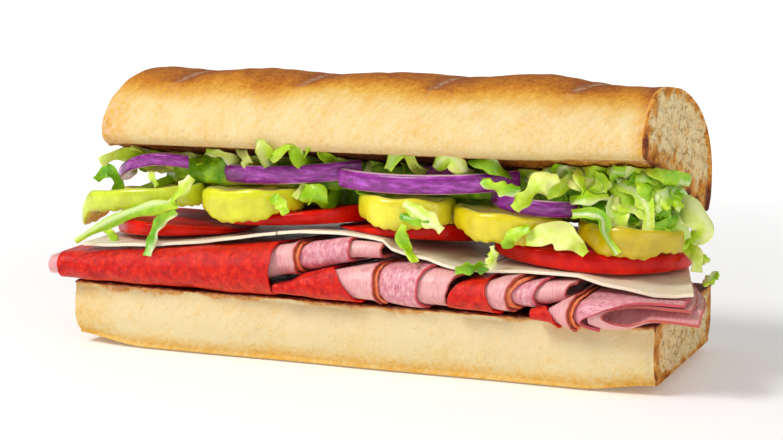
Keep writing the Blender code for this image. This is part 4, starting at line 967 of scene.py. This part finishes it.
# Each arc: centre, half sizes, wall, height, rise, fall, first and last angle, sag.
ONIONS = [
    ((-74, -12, 60.4), 22, 18, 2.6, 4.4, 0.08, 0.0, 172, 302, -0.014),
    ((-27, -8, 54.2), 32, 23, 3.0, 6.2, 0.07, 0.15, 190, 322, 0.0028),
    ((20, -13, 57.4), 36, 24.5, 3.0, 6.2, 0.02, 0.0, 222, 335, 0.0008),
    ((61, -12, 51.7), 21, 22, 3.0, 5.0, -0.04, 0.0, 202, 350, 0.002),
    ((24, -8, 56.0), 20, 14, 2.6, 3.0, 0.02, 0.34, 215, 325, 0.0),
]


def onion_tone(tree):
    """Purple streaked along the arc, violet in the light, with pale edges and a pinkish inside."""
    spot = own_place(tree)
    level = node(tree, "Math", {"operation": "ABSOLUTE"})
    feed(tree, level.inputs[0], mask(tree, "level"))
    streak = noise(tree, spot, 2.4 * MM, 4.0, 0.6, stretch=(0.5, 0.5, 2.2))
    purple = colours(tree, streak, (0.3, (0.13, 0.003, 0.12)), (0.5, (0.28, 0.014, 0.29)),
                     (0.7, (0.50, 0.09, 0.58)))
    outside = colour_mix(tree, levels(tree, level.outputs[0], 0.86, 0.99), purple, (0.84, 0.56, 0.74, 1.0))
    return colour_mix(tree, levels(tree, mask(tree, "reach"), -0.35, -0.8), outside, (0.80, 0.62, 0.58, 1.0))


onion_finish = moist_finish("onion_purple", onion_tone, 1.2, 0.16, 0.34, 0.12, (0.12, 1.6, 0.5, 1.2),
                            Coat_Weight=0.25, Coat_Roughness=0.12)

for number, (*form, start, stop, sag) in enumerate(ONIONS, 1):
    skin, reach, level = band(form, start, stop, 121, sag=sag)
    ends = [np.broadcast_to(row[:-1].mean(axis=0), (1, len(row), 3)) for row in (skin[0], skin[-1])]
    skin = np.concatenate([ends[0], skin, ends[1]])
    reach, level = (np.concatenate([rows[:1], rows, rows[-1:]]) for rows in (reach, level))
    piece(f"onion_arc_{number}", [skin * MM], {"reach": [reach], "level": [level]}, onion_finish,
          [f"onion_{number}"])


# Lettuce: iceberg cut into shreds and heaped on the vegetables, bright green and yellow leaf with
# pale ribs. A low packed core, painted a darker green as shade, carries hundreds of loose curled shreds.

LEAF_THICKNESS = 0.45
FILL_COUNT = 230
STRIP_SEED, FILL_SEED, LOOSE_SEED = 20, 500, 700
# The heap's shreds that show, each through places along it in millimetres with its width there.
HEAP_STRIPS = [
    [(-93, -33, 59.1, 2.2), (-88.8, -27, 61.3, 2.7), (-82, -20, 60.2, 2.7)],
    [(-85.6, -25, 64.3, 2.2), (-82.7, -22, 62.4, 2.7), (-80, -18, 60, 2.7)],
    [(-96.6, -30, 52.4, 2.2), (-91.8, -30, 55.7, 2.7), (-89.4, -27, 51.7, 2.2), (-90.1, -24, 46.5, 2.2)],
    [(-76.5, -27, 55.7, 1.7), (-73, -30, 51.5, 1.7)],
    [(-55.9, -27, 63.7, 1.7), (-51, -25, 62.7, 2.2), (-46.7, -22, 59.6, 2.2)],
    [(-43.3, -27, 65.3, 2.2), (-40.1, -29, 62.3, 2.2), (-39.7, -27, 59.5, 2.2)],
    [(-29.5, -42, 72.5, 1.7), (-28.4, -40, 67.6, 2.7), (-31.6, -30, 61.5, 2.7)],
    [(-28.7, -33, 63.3, 2.7), (-20.1, -36, 69.1, 3.2), (-20, -31, 63.4, 3.2)],
    [(-18.5, -32, 64.9, 2.2), (-13.3, -34, 68.2, 2.7), (-11.6, -27, 63.7, 2.2)],
    [(11.8, -33, 61.3, 2.2), (17.4, -35, 69, 3.2), (20.5, -31, 62.1, 2.7)],
    [(27.3, -31, 62.4, 2.7), (33.4, -35, 66.2, 3.2), (36.3, -31, 61.6, 2.7)],
    [(38.9, -31, 65.4, 2.7), (44.5, -33, 64.7, 2.7), (49, -30, 62, 2.2)],
    [(-20.5, -28, 51.3, 3.2), (-15.2, -30, 51.8, 4.4), (-12.5, -26, 48.2, 2.7)],
    [(-22.4, -30, 50.2, 1.7), (-20.5, -27, 52.8, 1.7), (-18.3, -24, 55.9, 1.7)],
    [(0.8, -28, 53.7, 2.2), (9.6, -31, 52, 2.7), (16.1, -30, 50.9, 2.2)],
    [(64, -33, 55.7, 2.7), (68.4, -31, 58.8, 3.2), (72.9, -27, 61, 2.7)],
    [(74, -31, 62.4, 2.2), (76, -32, 57.4, 2.7), (77, -32, 52.3, 2.2)],
    [(77.3, -30, 55.1, 2.7), (80.1, -30, 58.6, 3.2), (81.4, -26, 61.6, 2.2)],
    [(82.7, -26, 59.5, 2.7), (86.2, -27, 56.1, 3.2), (89.7, -26, 53.7, 3.2)],
    [(84.6, -30, 52.8, 3.9), (86.4, -32, 49.5, 3.9), (87.8, -31, 44.5, 2.7)],
    [(84.3, -26, 59.6, 1.7), (91.9, -30, 58, 2.7), (95.9, -32, 53, 3.2), (95.3, -30, 44.8, 2.7)],
    [(90.7, -22, 59.7, 3.2), (94, -24, 58.6, 3.9), (96.4, -22, 56, 3.2)],
    [(95.8, -27, 55.1, 2.2), (100, -30, 51.8, 2.7), (97.8, -28, 45, 2.2)],
    [(97.7, -16, 52.8, 3.9), (105.4, -22, 51.6, 4.9), (110.1, -22, 47, 4.4), (106.4, -20, 41.9, 2.7)],
    [(99.8, -24, 50.9, 3.2), (102.8, -26, 47.1, 3.9), (104.9, -24, 42.7, 2.7)],
    [(103.6, -16, 40.8, 2.7), (107.3, -18, 37.6, 2.7), (108.2, -20, 33, 2.7)],
    [(105.8, -10, 35.6, 1.7), (108.4, -12, 35.8, 1.7), (110.3, -12, 35.3, 1)],
    [(65.1, -22, 53.1, 3.2), (67.6, -24, 56.6, 3.2), (74.6, -22, 58, 3.2)],
]
# Shreds that lie apart from the heap: each has one or two runs.
LOOSE_SHREDS = [
    [[(-98.2, -41, 33, 1.7), (-88.7, -41, 38.3, 2.2), (-76.7, -40.5, 43.6, 2.7), (-66.6, -39.5, 46.1, 3.2),
      (-61.3, -37, 47, 2.7)],
     [(-63, -38, 47.1, 2.7), (-58.9, -38.5, 52, 3.2), (-55.9, -37, 56.2, 2.2)]],
    [[(-61.5, -38, 44.8, 2.2), (-65.5, -39, 42.4, 2.7), (-68.3, -39.5, 39, 2.2), (-69.3, -40.5, 34.7, 2.2),
      (-69.9, -43, 30, 3.2)]],
    [[(-91.7, -33, 36.6, 1.7), (-89.4, -33, 34.7, 2.2), (-87.1, -33, 32.1, 1.7)]],
    [[(-25.9, -39, 51.8, 2.7), (-22.6, -40, 49.8, 2.7), (-20.5, -40, 46.4, 2.2)]],
    [[(19.7, -39, 52, 2.2), (25, -40.5, 49.6, 3.2), (29.6, -40.5, 46.8, 3.2), (32.8, -40, 44.1, 2.2)],
     [(18.8, -40, 48, 1.7), (23.7, -40.5, 47.1, 2.2), (28.8, -40, 46, 2.2)]],
    [[(20.1, -40, 45.5, 2.2), (19.2, -39.5, 41, 2.7), (21.7, -40.5, 37.5, 2.7), (25, -43, 34.3, 2.2)]],
    [[(37.5, -41, 32, 1.7), (43.2, -41.5, 33.4, 2.7), (48.2, -41, 33.7, 2.7)],
     [(48.9, -39.5, 40.3, 1.7), (49.5, -40, 37, 2.2), (48.2, -41, 33.7, 2.7)]],
    [[(45.4, -39, 60.1, 2.2), (50.3, -40, 58.7, 2.7), (54.1, -40, 57.9, 2.7), (57.3, -38, 58.2, 2.2)]],
    [[(53.3, -39, 39.9, 3.2), (55.4, -39.5, 43.8, 2.7), (61.1, -39.5, 46.6, 2.2)],
     [(59.7, -39, 42.5, 3.2), (68.1, -39.5, 45.5, 5.4), (74.2, -39, 43, 4.9), (78.2, -37.5, 39.4, 2.7)]],
    [[(55.7, -38, 51.9, 3.2), (60, -38.5, 56.8, 3.9), (64.7, -38.5, 60.7, 4.4), (68.6, -36, 61.8, 3.2)]],
    [[(73.3, -36.5, 51.2, 2.2), (79.2, -37.5, 51.9, 2.7), (83.3, -37.5, 50.7, 2.7), (84.5, -37, 45.2, 2.2),
      (88.1, -37.5, 40, 2.2)]],
    [[(107.3, -6, 26.8, 1.7), (109.7, -7, 28.8, 2.2), (112.4, -8, 31, 1.7)]],
]


def lettuce_tone(tree):
    """Green to yellow leaf by its tint, a whitish rib down the middle, and fine veins."""
    tint, rib = mask(tree, "tint"), mask(tree, "rib")
    spot = own_place(tree)
    cloud = calc(tree, "MULTIPLY", calc(tree, "SUBTRACT", noise(tree, spot, 2.2 * MM, 4.0), 0.5), 0.7)
    leaf = colours(tree, calc(tree, "ADD", tint, cloud), (0.0, (0.13, 0.38, 0.003)),
                   (0.35, (0.30, 0.58, 0.006)),
                   (0.7, (0.55, 0.78, 0.03)), (1.0, (0.82, 0.90, 0.26)))
    return colour_mix(tree, rib, leaf, (0.88, 0.90, 0.58, 1.0))


lettuce_finish = moist_finish("lettuce_leaf", lettuce_tone, 1.2, 0.24, 0.42, 0.20, (0.15, 1.2, 1.6, 0.3))


def underside(x, y):
    """Height of the top half's cut face above a place, in millimetres."""
    normal, centre = TOP_TURN[:, 2], TOP_CENTRE / MM
    return centre[2] - (normal[0] * (x - centre[0]) + normal[1] * (y - centre[1])) / normal[2]


def leaf_shred(stations, seed, widen=1.5, per_knot=7, lines=5):
    """Shred of leaf along smoothed stations of place and width: a strip whose edges ruffle and whose
    width turns slowly about its path, narrower at its tips."""
    draw = np.random.default_rng(seed)
    path = smooth_path(stations, per_knot)
    along = np.gradient(path[:, :3], axis=0)
    along /= np.linalg.norm(along, axis=1)[:, None] + 1e-9
    across = np.cross(along, [0.38, -0.9, 0.25])
    across /= np.linalg.norm(across, axis=1)[:, None] + 1e-9
    face = np.cross(across, along)
    share = np.linspace(0, 1, len(path))[:, None]
    lean, twist = draw.uniform(-0.5, 0.5), draw.uniform(0.3, 0.8)
    turn = lean + twist * np.sin(share * draw.uniform(3, 6) + draw.uniform(0, 6))
    side = across * np.cos(turn) + face * np.sin(turn)
    face = face * np.cos(turn) - across * np.sin(turn)
    span = np.linspace(-1, 1, lines)[None, :]
    taper = 0.45 + 0.55 * np.sqrt(np.clip(np.sin(np.pi * (0.08 + 0.84 * share)), 0, 1))
    half = 0.5 * widen * path[:, 3:4] * taper * (1 + 0.15 * np.sin(share * 17 + seed))
    bow = half * draw.uniform(-0.5, 0.5) * (1 - span ** 2)
    ruffle = half * 0.32 * span ** 2 * np.sin(share * draw.uniform(9, 16) + span * 1.8 + seed)
    points = path[:, None, :3] + side[:, None] * (half * span)[..., None]
    points = points + face[:, None] * (bow + ruffle)[..., None]
    points[..., 2] = np.minimum(points[..., 2], underside(points[..., 0], points[..., 1]) - 0.6)
    push = face[:, None] * LEAF_THICKNESS / 2
    rib = np.clip(1 - np.abs(span - draw.uniform(-1.2, 1.2)) * 2.0, 0, 1)
    rib = rib * (draw.random() < 0.4) * draw.uniform(0.4, 1.0) + 0 * share
    tint = draw.beta(1.6, 1.5) + 0.16 * span ** 2 + 0.18 * np.sin(share * 5 + seed)
    return thick(points + push, points - push), thick_mask(rib), thick_mask(tint)


def lettuce_piece(name, shreds, nodes, extra=None):
    """All of a node's shreds as one mesh, with the core where it has one; the core's low tint is a darker
    green painted as shade under the shreds.
    """
    patches, ribs, tints = (list(group) for group in zip(*shreds))
    if extra is not None:
        patches.append(extra)
        ribs.append(np.zeros(extra.shape[:2]))
        # Painted shade: the core's tint is held low, so it shows a darker green, as if shaded by the shreds
        # over it.
        tints.append(np.full(extra.shape[:2], 0.22) + 0.25 * waves(extra, 5, 61))
    piece(name, [p * MM for p in patches], {"rib": ribs, "tint": tints}, lettuce_finish, nodes,
          70)


def heap_core():
    """Low bed under the shreds: sections like the solid's, rounded off and crumpled by waves."""
    x = np.linspace(-80, 101, 120)
    right = soft_step(62, 74, x)
    front = -21.0 - 5.0 * right - 1.5 * np.sin(x * 0.21)
    low = 52.2 - 4.0 * right
    taper = 1.0 - 0.5 * soft_step(88, 101, x) - 0.5 * soft_step(-70, -80, x)
    front, back = front * taper, 22.0 * taper
    ends = [(front, low), (x * 0 - 8.5, low - 0.3), (x * 0 - 6.5, x * 0 + 44.2), (x * 0 + 8, x * 0 + 43.0),
            (back, x * 0 + 42.4)]
    ends += [(y, underside(x, y) - 1.6) for y in (back, x * 0 + 8, x * 0 - 8, front + 3)]
    ends.append((front, underside(x, front) - 4.0))
    section = smooth_loop(np.array(ends).transpose(2, 0, 1), 8)
    rows = np.concatenate([np.broadcast_to(x[:, None, None], section.shape[:2] + (1,)), section], axis=2)
    skin = closed_rows(rows)
    skin[..., 1] += 0.7 * waves(skin, 5, 51) + 0.4 * waves(skin, 2.5, 52)
    skin[..., 2] += 0.4 * waves(skin, 4, 53)
    skin[..., 2] = np.minimum(skin[..., 2], underside(skin[..., 0], skin[..., 1]) - 0.5)
    skin[:, -1] = skin[:, 0]
    return skin


def loose_fill(count, seed):
    """Short shreds scattered over the heap's front and ends: each starts inside the core and bends out,
    its place drawn by chance within the wedge under the top half."""
    draw = np.random.default_rng(seed)
    made = []
    for k in range(count):
        x = draw.uniform(-90, 104)
        right = float(soft_step(58, 72, x))
        y = draw.uniform(-20, -14) + draw.uniform(-15, -10) * right
        low = 57.5 - 11.0 * right
        high = float(underside(x, y)) - 1.5
        z = draw.uniform(low, max(low + 2, high))
        length = draw.uniform(6, 13)
        heading = draw.uniform(0, 2 * np.pi)
        dx, dz = length * np.cos(heading), 0.6 * length * np.sin(heading)
        width = draw.uniform(2.2, 4.6)
        bulge = draw.uniform(-2.5, 1.0)
        run = [(x - dx / 2, y + draw.uniform(1, 5), z - dz / 2, width),
               (x, y + bulge, z + draw.uniform(0, 1.5), width * 1.2),
               (x + dx / 2, y + draw.uniform(0, 5), z + dz / 2, width * 0.9)]
        made.append(leaf_shred(run, seed + k, 1.3, 6))
    return made


# Each strip's back end is rooted in the core, within these limits.
ROOT_LEFT, ROOT_RIGHT, ROOT_Y, ROOT_LEAST_HEIGHT = -74.0, 95.0, -12.0, 53.0

heap = []
for k, run in enumerate(HEAP_STRIPS):
    inward = run if run[-1][1] >= run[0][1] else run[::-1]
    last = inward[-1]
    root_z = min(max(last[2], ROOT_LEAST_HEIGHT), float(underside(last[0], ROOT_Y)) - 2.5)
    root = (min(max(last[0], ROOT_LEFT), ROOT_RIGHT), ROOT_Y, root_z, last[3])
    heap.append(leaf_shred(inward + [root], STRIP_SEED + k, 1.7))
heap += loose_fill(FILL_COUNT, FILL_SEED)
lettuce_piece("lettuce_mound", heap, ["lettuce_heap"], heap_core())

for order, runs in enumerate(LOOSE_SHREDS):
    shreds = [leaf_shred(run, LOOSE_SEED + 5 * order + k, 1.5, 9, 7) for k, run in enumerate(runs)]
    lettuce_piece(f"lettuce_strand_{order + 1}", shreds, [f"lettuce_shred_{order + 1}"])
